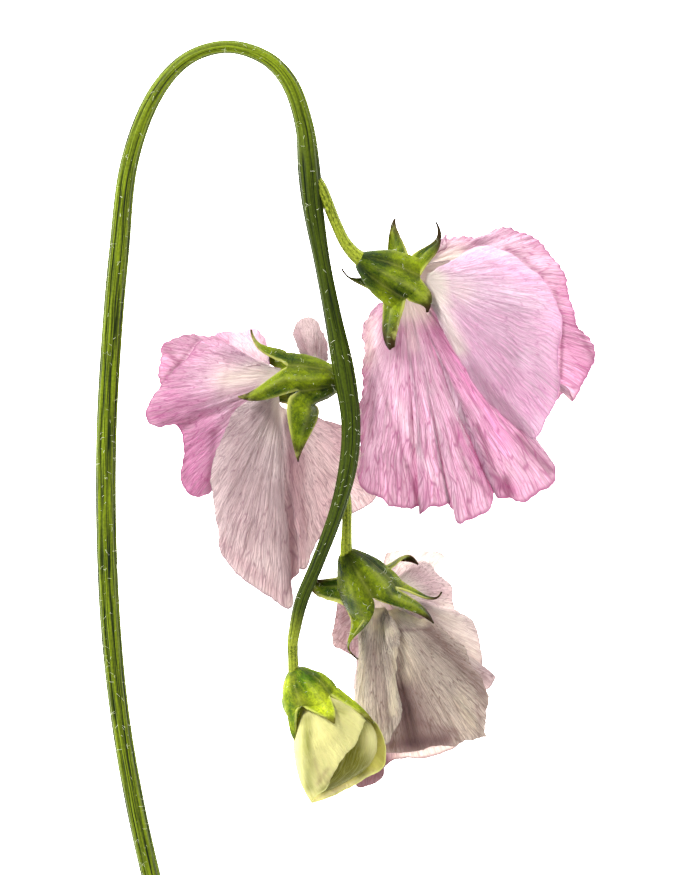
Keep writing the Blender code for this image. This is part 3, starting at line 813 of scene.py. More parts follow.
# %% Cut end
def cap_disc(name, centre, along, radius, dome, finish, rings=8, sides=48):
    """A slightly domed and rippled disc that faces along."""
    centre, along = Vector(centre), Vector(along).normalized()
    right = along.orthogonal().normalized()
    up = along.cross(right)
    verts = [centre + along * dome]
    for k in range(1, rings + 1):
        r = k / rings
        for step in range(sides):
            turn = step / sides * math.tau
            ripple = 0.02 * noise.noise(Vector((math.cos(turn) * 4 * r, math.sin(turn) * 4 * r, 1.0)))
            verts.append(centre + (right * math.cos(turn) + up * math.sin(turn)) * radius * r
                         + along * (dome * (1 - r ** 3) + ripple))
    faces = [(0, 1 + step, 1 + (step + 1) % sides) for step in range(sides)]
    for k in range(rings - 1):
        ring = 1 + k * sides
        for step in range(sides):
            following = (step + 1) % sides
            faces.append((ring + step, ring + sides + step, ring + sides + following, ring + following))
    tone = np.tile((0.0, 0.0, 0.0, 1.0), (len(verts), 1))
    return mesh_piece(name, np.array([vert[:] for vert in verts]), faces, FINISHES[finish], tone)


CUT_SHARE = 0.455    # the face's radius, as a share of the stalk's diameter
CUT_DOME = 0.09      # how far its middle stands out
cut_way = Vector(STALK[0][:3]) - Vector(STALK[1][:3])
cut_end = cap_disc("cut_end", STALK[0][:3], cut_way, STALK[0][3] * CUT_SHARE, CUT_DOME, "cut")

# %% [markdown]
# ## The upper flower
# It faces away and to the right. The standard hangs below the calyx with a crease down its middle
# and a notch at its tip, the left wing lies over it as a round veined shield, and the right wing
# is the frilled one underneath, which touches the table.

# %% Upper standard
pieces["upper_standard"] = petal(
    "upper_back_petal", "pink", ((65.8, 96.8, 20.0), (69.6, 97.4, 19.8)), [
        (62.8, 94.6, 18.8, 17.8), (61.6, 92.6, 18.8, 17.4), (60.3, 90.4, 19.0, 17.0), (60.7, 86.5, 19.4, 17.0),
        (60.4, 83.0, 20.0, 17.0), (59.9, 80.0, 20.0, 16.6), (59.8, 76.0, 20.4, 16.4), (59.7, 70.0, 20.8, 15.4),
        (59.9, 66.0, 21.2, 14.4), (61.2, 63.8, 21.5, 13.4), (64.0, 61.9, 21.6, 12.8), (67.0, 61.2, 21.6, 12.6),
        (69.4, 61.3, 21.4, 12.8), (70.1, 60.1, 21.4, 12.2), (70.9, 61.1, 21.2, 13.2), (73.5, 61.8, 21.0, 12.6),
        (75.2, 62.4, 21.0, 12.4), (76.3, 59.8, 20.8, 11.6), (77.4, 59.0, 20.6, 11.2), (79.6, 59.6, 20.2, 11.6),
        (81.8, 60.6, 19.8, 11.0), (82.6, 62.4, 19.4, 10.6), (83.5, 63.9, 19.0, 10.4), (84.6, 62.6, 19.0, 10.8),
        (86.1, 62.0, 18.8, 11.2), (88.0, 62.5, 18.6, 11.0), (89.8, 63.8, 18.2, 10.6), (91.9, 65.0, 17.8, 10.4),
        (92.6, 66.4, 17.4, 10.6), (92.0, 68.4, 17.2, 11.0), (90.3, 70.6, 17.0, 11.2), (88.6, 72.8, 16.9, 10.6),
        (89.0, 77.0, 16.6, 10.6), (88.5, 83.0, 16.6, 10.8), (85.0, 88.0, 16.8, 11.5), (79.0, 93.5, 17.8, 14.0)],
    base=0.36, ruffle=(0.35, 11), crumple=0.5, veins=0.075,
    pleats=[((70.1, 60.1), 0.010, 1.2, 0.2, "step"), ((83.4, 63.9), 0.010, 1.6, 0.1, "step"),
            ((76.3, 59.8), 0.010, 0.9, 0.3, "step"), ((82.0, 61.2), 0.010, 0.7, 0.3, "valley"),
            ((64.0, 61.9), 0.02, 0.5, 0.3, "step"), ((60.2, 82.0), 0.02, 0.5, 0.2, "valley"),
            ((73.5, 61.8), 0.03, 0.7, 0.2, "ridge"), ((86.5, 62.2), 0.02, 0.5, 0.4, "step"),
            ((92.0, 68.2), 0.014, 0.9, 0.3, "ridge"), ((66.5, 61.3), 0.018, 0.4, 0.5, "valley")],
    strokes=[("pink", 73.0, 92.0, 84.0, 72.0, 2.6, 0.36), ("pink", 80.0, 80.0, 88.0, 70.0, 2.6, 0.05),
             ("pink", 77.0, 74.0, 82.5, 63.0, 1.2, 0.5), ("pink", 84.0, 65.0, 85.2, 64.0, 1.0, 0.6),
             ("pink", 62.0, 88.0, 62.0, 72.0, 3.0, -0.15), ("pink", 67.0, 86.0, 72.0, 74.0, 4.0, -0.06),
             # the thin negative pink strokes beside the dark fold lines are painted highlights on the fold
             # ridges
             ("pink", 66.1, 79.2, 67.8, 74.2, 0.5, -0.45), ("pink", 67.8, 74.2, 72.8, 65.3, 0.5, -0.45),
             ("pink", 75.2, 79.0, 78.0, 72.0, 0.4, -0.6), ("pink", 61.0, 66.0, 70.0, 63.0, 2.0, 0.1),
             ("cream", 67.8, 93.8, 69.0, 88.0, 1.2, 0.5), ("cream", 62.0, 92.0, 61.5, 86.0, 1.6, 0.6),
             ("dark", 60.4, 86.0, 60.6, 68.0, 0.8, 0.3), ("dark", 70.2, 60.5, 67.8, 68.1, 0.35, 0.45),
             ("dark", 67.8, 68.1, 64.4, 78.5, 0.35, 0.35), ("dark", 64.4, 78.5, 62.4, 87.0, 0.4, 0.25),
             ("dark", 75.0, 76.0, 77.6, 68.0, 0.4, 0.35),
             ("dark", 77.6, 68.0, 82.2, 62.5, 0.4, 0.25), ("dark", 79.5, 75.0, 83.4, 64.4, 0.4, 0.4),
             # painted light: a negative dark stroke lifts the shaded band beside the near wing
             ("dark", 76.0, 86.0, 84.5, 71.0, 2.0, -0.26),
             ("dark", 84.4, 66.0, 84.8, 63.5, 0.9, 0.5), ("dark", 86.3, 73.0, 91.6, 67.5, 0.8, 0.45),
             ("dark", 64.6, 92.5, 65.4, 86.5, 1.6, 0.3), ("dark", 71.6, 93.0, 75.5, 84.0, 0.5, 0.12)],
    seed=3, columns=330, rows=110, ragged=0.16)

# %% Upper left wing
pieces["upper_left_wing"] = petal(
    "upper_near_wing", "near", ((70.4, 97.2, 22.4), (71.2, 100.0, 22.2)), [
        (72.9, 94.6, 22.4, 22.3), (75.0, 89.6, 22.6, 21.6), (77.4, 84.6, 22.8, 20.0), (80.4, 80.4, 23.0, 18.2),
        (84.2, 76.4, 23.4, 16.0), (88.5, 72.7, 24.0, 14.0), (90.8, 76.0, 24.6, 14.2), (92.6, 78.8, 25.0, 14.8),
        (93.3, 82.0, 25.4, 15.4), (92.8, 86.5, 25.8, 16.0), (93.3, 92.0, 26.3, 16.8), (91.8, 96.7, 26.6, 17.5),
        (89.7, 99.6, 26.5, 18.0), (86.8, 102.3, 26.0, 18.6), (83.9, 104.0, 25.5, 19.2),
        (81.0, 104.6, 24.9, 19.7),
        (78.2, 103.8, 24.2, 20.2), (75.3, 101.9, 23.2, 21.2), (73.4, 100.4, 22.6, 21.8)],
    base=0.46, ruffle=(0.2, 5), crumple=0.5, veins=0.1,
    pleats=[((88.5, 72.7), 0.03, 0.5, 0.5, "step"), ((93.3, 92.0), 0.05, 0.5, 0.3, "ridge"),
            ((92.6, 80.0), 0.04, 0.35, 0.4, "valley")],
    strokes=[("pink", 93.0, 96.0, 93.0, 82.0, 2.6, 0.22), ("pink", 84.0, 82.0, 90.0, 78.0, 3.0, 0.2),
             ("pink", 83.0, 101.5, 90.0, 98.0, 1.6, 0.18), ("pink", 80.0, 96.0, 88.0, 96.0, 2.2, -0.2),
             ("pink", 77.0, 90.0, 83.0, 86.0, 3.0, 0.1), ("cream", 71.5, 99.0, 76.5, 87.5, 1.5, 0.85),
             ("cream", 71.5, 99.5, 77.0, 97.0, 2.4, 0.55), ("dark", 92.9, 80.0, 93.2, 90.0, 0.7, 0.3),
             ("dark", 78.5, 84.0, 88.0, 73.5, 1.2, 0.2)],
    cream_reach=0.3, edge_reach=0.02, seed=7, columns=260, rows=110)

# %% Upper keel
pieces["upper_keel"] = petal(
    "upper_keel_petal", "blush", ((68.2, 98.6, 18.0), (68.0, 101.6, 18.4)), [
        (76.0, 97.0, 17.6, 16.0), (82.0, 96.5, 16.8, 15.0), (85.0, 99.0, 16.5, 14.5), (82.5, 101.8, 16.8, 14.5),
        (76.5, 102.2, 18.2, 17.4), (73.6, 102.0, 19.2, 19.0)],
    base=0.05, ruffle=(0.1, 3), crumple=0.2, cream_reach=1.4, seed=9, columns=90, rows=50)

# %% Upper right wing
pieces["upper_right_wing"] = petal(
    "upper_far_wing", "pink", ((67.9, 98.2, 15.4), (68.4, 101.2, 15.6)), [
        (88.0, 76.5, 9.0, 2.5), (91.0, 76.2, 8.4, 1.4), (92.8, 78.4, 8.0, 0.8), (94.0, 80.4, 7.8, 1.4),
        (94.8, 81.2, 7.6, 2.4), (96.2, 79.3, 7.5, 1.4), (97.0, 81.3, 7.6, 1.0), (98.4, 83.6, 7.8, 0.8),
        (99.3, 85.6, 8.0, 0.9), (99.1, 87.6, 8.4, 1.2), (98.0, 90.0, 8.8, 1.4), (96.3, 91.9, 9.0, 2.0),
        (95.7, 94.5, 9.3, 2.2), (95.1, 98.0, 9.6, 2.6), (94.1, 100.6, 10.0, 3.2), (92.2, 103.6, 10.6, 3.8),
        (89.7, 105.8, 11.0, 4.6), (87.2, 107.1, 11.4, 5.4), (85.0, 107.7, 11.8, 6.2), (82.4, 107.5, 12.2, 7.0),
        (80.3, 106.8, 12.6, 7.8), (76.7, 106.5, 13.4, 9.0), (74.2, 106.4, 14.0, 10.5),
        (74.4, 104.4, 14.6, 12.5)],
    base=0.36, ruffle=(0.4, 9), crumple=0.7, veins=0.08,
    strokes=[("pink", 93.0, 104.0, 96.0, 94.0, 2.0, 0.2), ("pink", 96.0, 91.0, 97.0, 82.0, 2.5, 0.2),
             ("pink", 80.0, 106.0, 88.0, 105.0, 2.0, -0.05), ("pink", 83.0, 105.5, 91.5, 101.0, 2.4, -0.25),
             ("cream", 92.0, 79.0, 95.0, 79.5, 1.6, 0.5), ("cream", 68.0, 101.0, 76.0, 103.0, 2.6, 1.0),
             # painted shadow along the near wing's edge; the negative dark stroke after it is painted light
             ("dark", 92.6, 97.5, 94.0, 92.0, 0.4, 0.3), ("dark", 94.0, 92.0, 93.7, 83.0, 0.3, 0.5),
             ("dark", 94.0, 88.0, 97.0, 80.0, 2.4, -0.24),
             ("dark", 84.5, 104.8, 90.5, 100.2, 0.5, 0.3), ("dark", 96.6, 91.5, 99.2, 86.0, 0.4, 0.3),
             ("dark", 94.6, 88.0, 95.0, 82.0, 0.9, 0.05)],
    edge_reach=0.025, seed=12, columns=260, rows=90, ragged=0.08)

# %% [markdown]
# ## The middle flower
# It points left, behind the stalk. One half of its standard lies in front, pale and streaked, and
# folds over along a dark band; the pink half shows behind the stalk. The wings reach out left.

# %% Middle standard
pieces["middle_standard"] = petal(
    "middle_back_petal", "blush", ((46.4, 80.2, 20.4), (46.6, 78.0, 14.6)), [
        (42.2, 78.6, 20.6, 20.2), (40.3, 77.8, 20.8, 19.2), (38.6, 76.0, 20.8, 18.2), (37.0, 73.2, 20.8, 17.4),
        (35.8, 70.0, 21.0, 16.6), (35.3, 66.0, 21.0, 15.6), (35.6, 62.0, 20.9, 14.8), (35.9, 58.0, 20.8, 14.2),
        (36.4, 54.4, 20.6, 13.6), (38.4, 51.4, 20.4, 13.2), (41.0, 49.2, 20.1, 12.8), (44.1, 47.0, 19.8, 12.6),
        (46.5, 45.2, 19.4, 12.4), (48.3, 44.4, 18.8, 12.2), (48.8, 47.6, 17.6, 12.6), (49.4, 50.4, 16.6, 12.0),
        (49.6, 51.0, 14.2, 10.2), (51.0, 51.2, 13.2, 9.4), (53.2, 56.0, 12.2, 8.0), (56.6, 59.4, 11.6, 6.2),
        (59.6, 60.6, 11.4, 5.4), (62.4, 62.2, 11.2, 4.8), (63.0, 65.0, 11.0, 4.8), (61.6, 69.0, 11.0, 5.2),
        (58.5, 74.5, 11.0, 6.5)],
    base=0.12, ruffle=(0.2, 8), crumple=0.5, veins=0.075,
    pleats=[((49.4, 50.4), 0.012, 0.7, 0.15, "ridge"), ((48.9, 48.0), 0.012, 0.8, 0.1, "valley"),
            ((36.0, 57.0), 0.03, 0.4, 0.3, "valley"), ((35.6, 66.0), 0.03, 0.4, 0.3, "ridge"),
            ((51.8, 53.0), 0.02, 0.6, 0.2, "valley"), ((44.0, 47.0), 0.02, 0.35, 0.4, "ridge")],
    strokes=[("pink", 49.0, 70.0, 49.2, 48.0, 1.5, 0.45), ("pink", 53.0, 74.0, 55.0, 58.0, 4.0, 0.3),
             ("pink", 58.0, 72.0, 62.0, 62.0, 4.0, 0.36), ("pink", 36.0, 56.0, 47.0, 46.0, 1.2, 0.35),
             ("cream", 46.0, 79.0, 45.0, 74.0, 2.2, 0.4), ("dark", 48.2, 76.0, 48.8, 48.0, 0.6, 0.36),
             ("dark", 46.6, 64.0, 48.0, 48.0, 1.4, 0.2), ("dark", 38.0, 75.0, 46.0, 77.5, 2.4, 0.26),
             ("dark", 39.0, 72.0, 41.5, 58.0, 4.5, 0.26), ("dark", 50.4, 70.0, 50.6, 53.0, 0.5, 0.2),
             # painted light: a negative dark stroke brightens the pink half behind the stalk
             ("dark", 53.5, 72.0, 59.5, 62.0, 3.6, -0.45)],
    cream_reach=0.18, edge_reach=0.018, seed=21, columns=300, rows=110)

# %% Middle left wing
pieces["middle_left_wing"] = petal(
    "middle_near_wing", "pink", ((46.8, 84.4, 19.0), (46.8, 80.6, 18.2)), [
        (42.3, 85.2, 18.4, 18.0), (39.0, 85.2, 18.0, 17.4), (38.6, 86.6, 17.9, 16.4), (37.3, 88.3, 17.6, 15.4),
        (35.2, 89.0, 17.4, 14.6), (33.2, 88.6, 17.4, 14.0), (31.8, 87.0, 17.4, 13.4), (30.2, 84.8, 17.4, 12.8),
        (27.4, 82.5, 17.3, 12.2), (25.8, 79.8, 17.2, 11.8), (24.8, 77.4, 17.0, 11.4), (24.7, 75.6, 16.9, 11.2),
        (26.3, 74.4, 16.8, 11.4), (29.2, 74.2, 16.7, 11.6), (30.4, 72.7, 16.6, 11.4), (30.6, 70.6, 16.4, 11.0),
        (30.2, 68.3, 16.3, 10.6), (30.4, 66.0, 16.2, 10.0), (31.8, 63.5, 16.1, 9.6), (33.5, 63.1, 16.1, 9.6),
        (35.4, 63.8, 16.0, 9.6), (38.5, 68.0, 16.2, 11.0), (40.5, 73.5, 16.6, 13.0)],
    base=0.46, ruffle=(0.3, 7), crumple=0.5, veins=0.085,
    pleats=[((29.2, 74.2), 0.03, 0.8, 0.3, "valley"), ((25.0, 78.0), 0.04, 0.6, 0.2, "ridge"),
            ((33.2, 88.6), 0.04, 0.6, 0.3, "ridge"), ((31.8, 66.0), 0.03, 0.4, 0.3, "ridge")],
    strokes=[("pink", 25.5, 77.0, 29.0, 75.0, 2.0, 0.35), ("pink", 30.5, 72.0, 32.0, 64.5, 2.2, 0.4),
             ("pink", 27.0, 82.0, 32.0, 87.0, 1.6, 0.15), ("pink", 36.0, 84.0, 38.0, 78.0, 3.0, -0.2),
             ("pink", 34.0, 72.0, 36.0, 66.0, 2.6, 0.3), ("cream", 45.0, 83.6, 38.0, 82.6, 2.7, 0.95),
             ("pink", 29.0, 80.0, 34.0, 76.0, 2.6, 0.3), ("dark", 28.0, 80.0, 34.0, 66.0, 4.0, 0.12),
             ("dark", 35.6, 73.5, 34.9, 64.0, 0.7, 0.35), ("dark", 35.6, 73.5, 40.0, 79.0, 0.6, 0.3),
             ("dark", 38.2, 85.6, 36.8, 80.0, 0.5, 0.25), ("dark", 30.6, 70.6, 30.6, 66.0, 0.5, 0.3)],
    cream_reach=0.32, edge_reach=0.03, seed=23, columns=260, rows=90)

# %% Middle keel
pieces["middle_keel"] = petal(
    "middle_keel_petal", "shell", ((54.2, 84.4, 15.0), (51.8, 84.4, 16.6)), [
        (54.6, 86.2, 14.0, 12.6), (54.5, 88.0, 13.4, 11.2), (53.9, 90.3, 13.4, 10.4), (53.0, 92.0, 13.6, 9.8),
        (51.9, 92.8, 13.9, 9.7), (50.6, 92.9, 14.2, 9.9), (49.5, 92.0, 14.4, 10.4), (48.9, 90.4, 14.8, 11.4),
        (49.2, 88.8, 15.2, 12.6), (50.0, 87.0, 16.0, 14.4)],
    base=0.3, ruffle=(0.1, 3), crumple=0.3, veins=0.06,
    strokes=[("dark", 52.4, 85.5, 52.6, 87.6, 1.8, 0.3), ("pink", 49.4, 90.5, 50.6, 87.5, 0.8, 0.4)],
    cream_reach=0.3, seed=27, columns=120, rows=50, ragged=0.05)

# %% Middle right wing
pieces["middle_right_wing"] = petal(
    "middle_far_wing", "pink", ((45.0, 84.4, 15.6), (44.6, 81.0, 14.8)), [
        (44.4, 89.0, 13.0, 10.5), (42.4, 90.9, 12.0, 8.4), (38.7, 90.5, 11.0, 6.6), (34.8, 90.2, 10.0, 5.2),
        (30.2, 89.8, 9.0, 3.8), (27.4, 88.7, 8.5, 3.0), (26.8, 87.2, 8.2, 2.4), (26.3, 84.0, 7.9, 1.6),
        (26.2, 81.4, 7.6, 1.0), (27.6, 78.4, 7.2, 0.6), (30.6, 75.2, 7.0, 0.4), (33.4, 71.5, 7.0, 0.5),
        (36.0, 68.2, 7.6, 1.2), (40.0, 70.5, 8.8, 3.4), (42.5, 74.5, 10.2, 6.2)],
    base=0.28, ruffle=(0.4, 8), crumple=0.5, veins=0.08,
    pleats=[((27.0, 88.0), 0.03, 0.8, 0.4, "ridge"), ((34.8, 90.2), 0.04, 0.6, 0.3, "valley")],
    strokes=[("pink", 27.0, 88.0, 27.0, 82.0, 1.6, 0.25), ("pink", 30.0, 88.0, 38.0, 89.0, 1.5, 0.15),
             # the negative dark stroke is painted light on the wing's upper part; the thin dark strokes after
             # it are a painted shadow along the near wing's edge
             ("dark", 28.0, 86.6, 34.0, 88.4, 1.4, -0.12),
             ("cream", 40.0, 89.0, 44.0, 87.0, 2.2, 0.5), ("dark", 25.8, 80.6, 29.6, 85.2, 0.5, 0.4),
             ("dark", 29.6, 85.2, 32.6, 89.0, 0.35, 0.3), ("dark", 32.6, 89.3, 37.6, 88.8, 0.5, 0.3),
             ("dark", 27.0, 88.4, 29.0, 86.0, 0.6, 0.3)],
    edge_reach=0.03, seed=29, columns=200, rows=80)

# %% [markdown]
# ## The lower flower
# It hangs down and to the right, the palest and greyest of the three. A folded wing lies at its
# left and a big round wing in the middle; a keel curls out at the right with a bent tip, and the
# standard spreads behind them all, on the table.

# %% Lower left wing
pieces["lower_left_wing"] = petal(
    "lower_near_wing", "mauve", ((60.9, 44.4, 17.0), (64.2, 44.6, 16.6)), [
        (60.0, 41.4, 17.5, 16.8), (59.9, 38.0, 17.3, 14.8), (59.7, 34.0, 16.8, 12.0), (59.4, 30.0, 16.2, 10.2),
        (59.6, 26.4, 15.7, 9.6), (61.0, 23.6, 15.4, 9.4), (63.0, 21.8, 15.3, 9.6), (64.6, 21.5, 15.5, 10.2),
        (65.6, 23.4, 15.9, 11.4), (66.8, 26.0, 16.4, 12.6), (66.6, 29.0, 16.9, 13.6), (65.9, 32.0, 17.3, 14.4),
        (65.6, 34.8, 17.6, 15.2), (66.3, 37.4, 17.8, 16.0), (66.6, 40.0, 17.9, 16.6), (65.6, 41.9, 17.8, 17.0)],
    base=0.05, ruffle=(0.15, 5), crumple=0.3, veins=0.08,
    pleats=[((64.8, 21.6), 0.05, 0.5, 0.1, "valley"), ((65.6, 34.0), 0.03, 0.6, 0.2, "ridge")],
    strokes=[("pink", 62.0, 38.0, 64.5, 25.0, 1.2, 0.35), ("dark", 61.4, 37.5, 64.0, 26.0, 1.4, 0.2),
             # the cream strokes along both rims and across the top are painted light, and so is the negative
             # dark stroke
             ("cream", 60.4, 38.0, 60.2, 28.0, 0.7, 0.6), ("dark", 61.0, 38.0, 61.6, 26.0, 2.4, -0.16),
             ("cream", 65.8, 37.5, 65.6, 27.0, 0.7, 0.8),
             ("cream", 61.5, 41.8, 65.0, 40.5, 1.2, 0.7), ("dark", 65.2, 36.5, 65.4, 34.0, 0.5, 0.25)],
    cream_reach=0.12, edge_reach=0.02, seed=31, columns=200, rows=100)

# %% Lower right wing
pieces["lower_right_wing"] = petal(
    "lower_round_wing", "mauve", ((63.4, 43.8, 16.3), (66.4, 44.4, 15.2)), [
        (63.5, 20.4, 12.4, 8.0), (66.8, 20.3, 13.2, 8.4), (69.5, 20.2, 13.8, 8.6), (72.2, 21.2, 14.4, 9.0),
        (75.7, 21.2, 14.8, 9.0), (77.7, 22.4, 15.1, 9.2), (79.6, 22.6, 15.4, 9.0), (81.2, 22.9, 15.5, 8.8),
        (80.6, 23.8, 15.6, 9.2), (81.2, 26.4, 15.9, 9.6), (81.6, 28.8, 16.2, 10.0), (80.8, 31.2, 16.6, 10.8),
        (79.0, 34.3, 16.9, 11.8), (77.7, 37.0, 17.0, 12.6), (75.7, 39.3, 16.9, 13.4), (73.2, 41.2, 16.6, 14.2),
        (71.2, 41.6, 16.2, 14.6), (68.8, 40.6, 15.8, 15.0), (67.2, 40.4, 15.5, 15.0)],
    base=0.2, ruffle=(0.2, 7), crumple=0.45, veins=0.085,
    pleats=[((77.7, 22.4), 0.03, 0.4, 0.4, "step"), ((69.5, 20.2), 0.04, 0.4, 0.2, "valley"),
            ((81.2, 27.0), 0.03, 0.4, 0.5, "valley")],
    # the cream strokes on the wing's upper left and right side are painted light, and the dark strokes are
    # painted shade at its lower left and along its top edge; the cream at the claw is its own colour
    strokes=[("pink", 71.5, 41.0, 80.4, 31.5, 1.5, 0.8), ("pink", 80.0, 33.0, 81.2, 27.0, 1.0, 0.45),
             ("pink", 68.0, 32.0, 69.0, 22.0, 3.0, 0.2), ("cream", 67.5, 39.0, 68.4, 33.0, 1.4, 0.4),
             ("dark", 67.0, 30.0, 68.6, 22.4, 2.4, 0.62), ("dark", 64.5, 21.4, 74.5, 22.4, 1.5, 0.62),
             ("dark", 68.8, 27.0, 72.0, 22.0, 3.0, 0.34), ("dark", 70.0, 25.2, 76.0, 23.8, 0.7, 0.3),
             ("cream", 77.0, 29.0, 78.6, 25.0, 1.4, 0.35), ("dark", 79.4, 28.0, 80.2, 24.0, 0.35, 0.3),
             ("cream", 65.0, 43.6, 70.6, 42.6, 1.2, 0.95), ("dark", 66.0, 42.4, 71.4, 41.8, 0.8, 0.1),
             ("dark", 66.4, 40.8, 71.8, 41.0, 0.3, 0.4)],
    cream_reach=0.1, edge_reach=0.016, seed=33, columns=260, rows=110)

# %% Lower keel
pieces["lower_keel"] = petal(
    "lower_keel_petal", "shell", ((65.0, 45.0, 14.0), (64.8, 48.0, 13.4)), [
        (74.0, 33.0, 11.4, 7.5), (79.0, 31.4, 11.6, 7.0), (81.2, 31.0, 11.8, 7.4), (82.2, 32.0, 12.0, 8.6),
        (82.4, 33.2, 12.2, 8.6), (80.8, 34.2, 12.4, 8.6), (80.1, 37.6, 12.8, 9.8), (79.8, 40.2, 13.2, 10.6),
        (78.7, 42.2, 13.6, 11.2), (76.8, 43.3, 13.6, 11.4), (76.2, 43.9, 12.4, 9.4), (75.4, 46.2, 11.8, 8.8),
        (75.2, 47.8, 11.8, 8.6), (73.2, 50.1, 11.8, 8.6), (71.2, 51.7, 11.8, 8.8), (68.8, 51.2, 12.0, 9.6),
        (67.2, 49.6, 12.6, 11.2)],
    base=0.0, ruffle=(0.25, 6), crumple=0.4, veins=0.08,
    pleats=[((76.6, 43.6), 0.012, 0.5, 0.1, "ridge"), ((81.6, 33.4), 0.02, 0.5, 0.6, "valley")],
    # painted light: the negative dark stroke and the wide cream stroke lift shaded parts of the keel
    strokes=[("pink", 69.5, 50.0, 75.0, 46.0, 2.4, 0.7), ("dark", 70.0, 50.0, 75.5, 46.0, 3.0, -0.5),
             ("dark", 70.5, 45.8, 76.3, 43.4, 0.4, 0.35),
             ("dark", 72.0, 42.6, 78.0, 35.0, 0.5, 0.3), ("cream", 74.0, 43.5, 79.0, 37.0, 2.4, 0.8),
             ("cream", 67.0, 48.5, 69.0, 47.0, 1.5, 0.8), ("pink", 80.5, 34.5, 82.0, 32.0, 1.2, 0.35)],
    cream_reach=0.25, edge_reach=0.02, seed=37, columns=220, rows=80)

# %% Lower standard
pieces["lower_standard"] = petal(
    "lower_back_petal", "shell", ((61.6, 45.4, 10.8), (62.8, 46.8, 10.8)), [
        (57.6, 47.4, 9.6, 8.0), (56.3, 45.2, 9.0, 6.6), (56.2, 42.2, 8.2, 4.8), (55.6, 39.4, 7.6, 3.4),
        (55.7, 38.0, 7.2, 2.6), (57.6, 36.7, 6.8, 1.8), (59.6, 35.2, 6.4, 1.2), (59.0, 30.0, 6.2, 0.8),
        (58.8, 24.0, 6.0, 0.6), (58.6, 18.0, 6.0, 0.5), (59.4, 14.4, 6.0, 0.5), (61.4, 14.4, 6.0, 0.6),
        (63.8, 15.8, 6.0, 0.8), (64.5, 17.6, 6.0, 0.8), (66.6, 18.8, 6.0, 0.6), (70.2, 19.2, 6.0, 0.5),
        (72.8, 19.6, 6.0, 0.6), (76.6, 21.2, 6.0, 0.6), (79.0, 26.0, 6.1, 0.8), (78.8, 33.0, 6.3, 1.0),
        (76.8, 40.0, 6.8, 1.8), (74.2, 45.6, 7.2, 2.8), (72.6, 48.8, 7.6, 3.6), (72.8, 51.2, 7.9, 4.0),
        (74.2, 52.9, 8.0, 4.2), (72.6, 53.5, 8.3, 4.8), (69.8, 53.8, 8.6, 5.6), (67.0, 54.2, 8.9, 6.4),
        (64.4, 53.6, 9.4, 7.6)],
    base=0.4, ruffle=(0.3, 8), crumple=0.5, veins=0.08,
    strokes=[("pink", 56.5, 44.0, 57.5, 38.0, 2.0, 0.15), ("pink", 65.0, 53.0, 75.0, 53.0, 3.0, -0.6),
             ("cream", 64.0, 53.5, 74.0, 53.0, 2.0, 0.7), ("pink", 60.0, 16.0, 76.0, 21.0, 1.5, 0.1),
             ("dark", 59.6, 14.6, 64.8, 17.8, 2.4, 0.72), ("dark", 57.2, 44.0, 59.4, 37.0, 1.6, 0.22),
             # painted highlight along the lit bottom edge
             ("cream", 66.0, 19.0, 77.0, 21.2, 1.0, 0.8)],
    edge_reach=0.02, seed=39, columns=240, rows=90, ragged=0.12)

# %% [markdown]
# ## The bud
# The bud is one folded standard that still wraps everything else. Its fold runs down the left edge
# to the tip, and its two halves meet along the right, the lower one showing a little past the upper.

# %% Bud
pieces["bud_standard"] = petal(
    "bud_folded_petal", "bud", ((51.6, 30.4, 21.8), (51.7, 30.2, 18.8)), [
        (56.4, 29.5, 23.0, 22.2), (58.6, 28.7, 23.6, 21.8), (60.3, 27.2, 24.2, 21.6), (61.0, 25.2, 24.8, 21.4),
        (60.3, 22.3, 25.6, 21.6, -0.3, 0.0), (58.8, 19.8, 25.9, 21.6, -0.6, 0.0),
        (56.5, 17.2, 25.8, 21.2, -1.2, 0.0), (53.9, 14.6, 25.0, 20.6, -1.9, 0.0),
        (52.3, 12.7, 22.8, 19.8, -2.5, 0.0), (51.8, 12.1, 20.0, 19.2, -2.8, 0.0),
        (52.3, 12.1, 17.6, 18.6, -2.6, 0.0), (54.2, 12.7, 16.0, 18.4, -2.0, 0.0),
        (57.3, 13.9, 15.0, 18.4, -1.2, 0.0), (60.4, 16.0, 15.0, 18.6, -0.6, 0.0),
        (63.2, 17.4, 15.2, 18.8, -0.2, 0.0), (64.2, 19.0, 15.4, 18.9), (64.0, 22.0, 15.8, 19.0),
        (63.0, 24.8, 16.2, 19.2), (61.5, 26.2, 16.8, 19.4)],
    base=0.2, ruffle=(0.1, 4), crumple=0.3, veins=0.03,
    pleats=[((53.9, 14.6), 0.02, 0.5, 0.55, "valley"), ((52.3, 12.7), 0.012, 0.4, 0.5, "ridge"),
            ((57.3, 13.9), 0.03, 0.4, 0.4, "ridge")],
    strokes=[("pink", 62.0, 25.0, 60.0, 17.0, 1.4, 0.6), ("pink", 51.2, 26.0, 51.6, 15.0, 0.9, 0.55),
             ("pink", 54.0, 28.5, 57.0, 27.5, 1.2, 0.4), ("pink", 54.5, 23.0, 57.0, 19.0, 2.0, -0.2),
             ("pink", 57.5, 16.8, 54.0, 14.2, 0.8, 0.7), ("dark", 60.2, 19.0, 55.6, 15.4, 1.1, 0.4),
             ("cream", 53.0, 12.5, 62.6, 16.8, 0.7, 0.55), ("dark", 53.0, 15.5, 54.6, 18.0, 0.4, 0.25),
             ("dark", 52.4, 19.5, 53.4, 16.0, 0.35, 0.2)],
    cream_reach=0.05, edge_reach=0.025, seed=41, columns=260, rows=90, ragged=0.03)

# %% [markdown]
# Inside the fold the keel and wings are still packed in one plump pod, which fills the bud and
# bulges a little past the upper half. It carries painted shade everywhere but on that bulge.

# %% The pod in the bud
POD_BULGE = (62.0, 22.6)     # where the pod shows past the upper half, paler than the rest


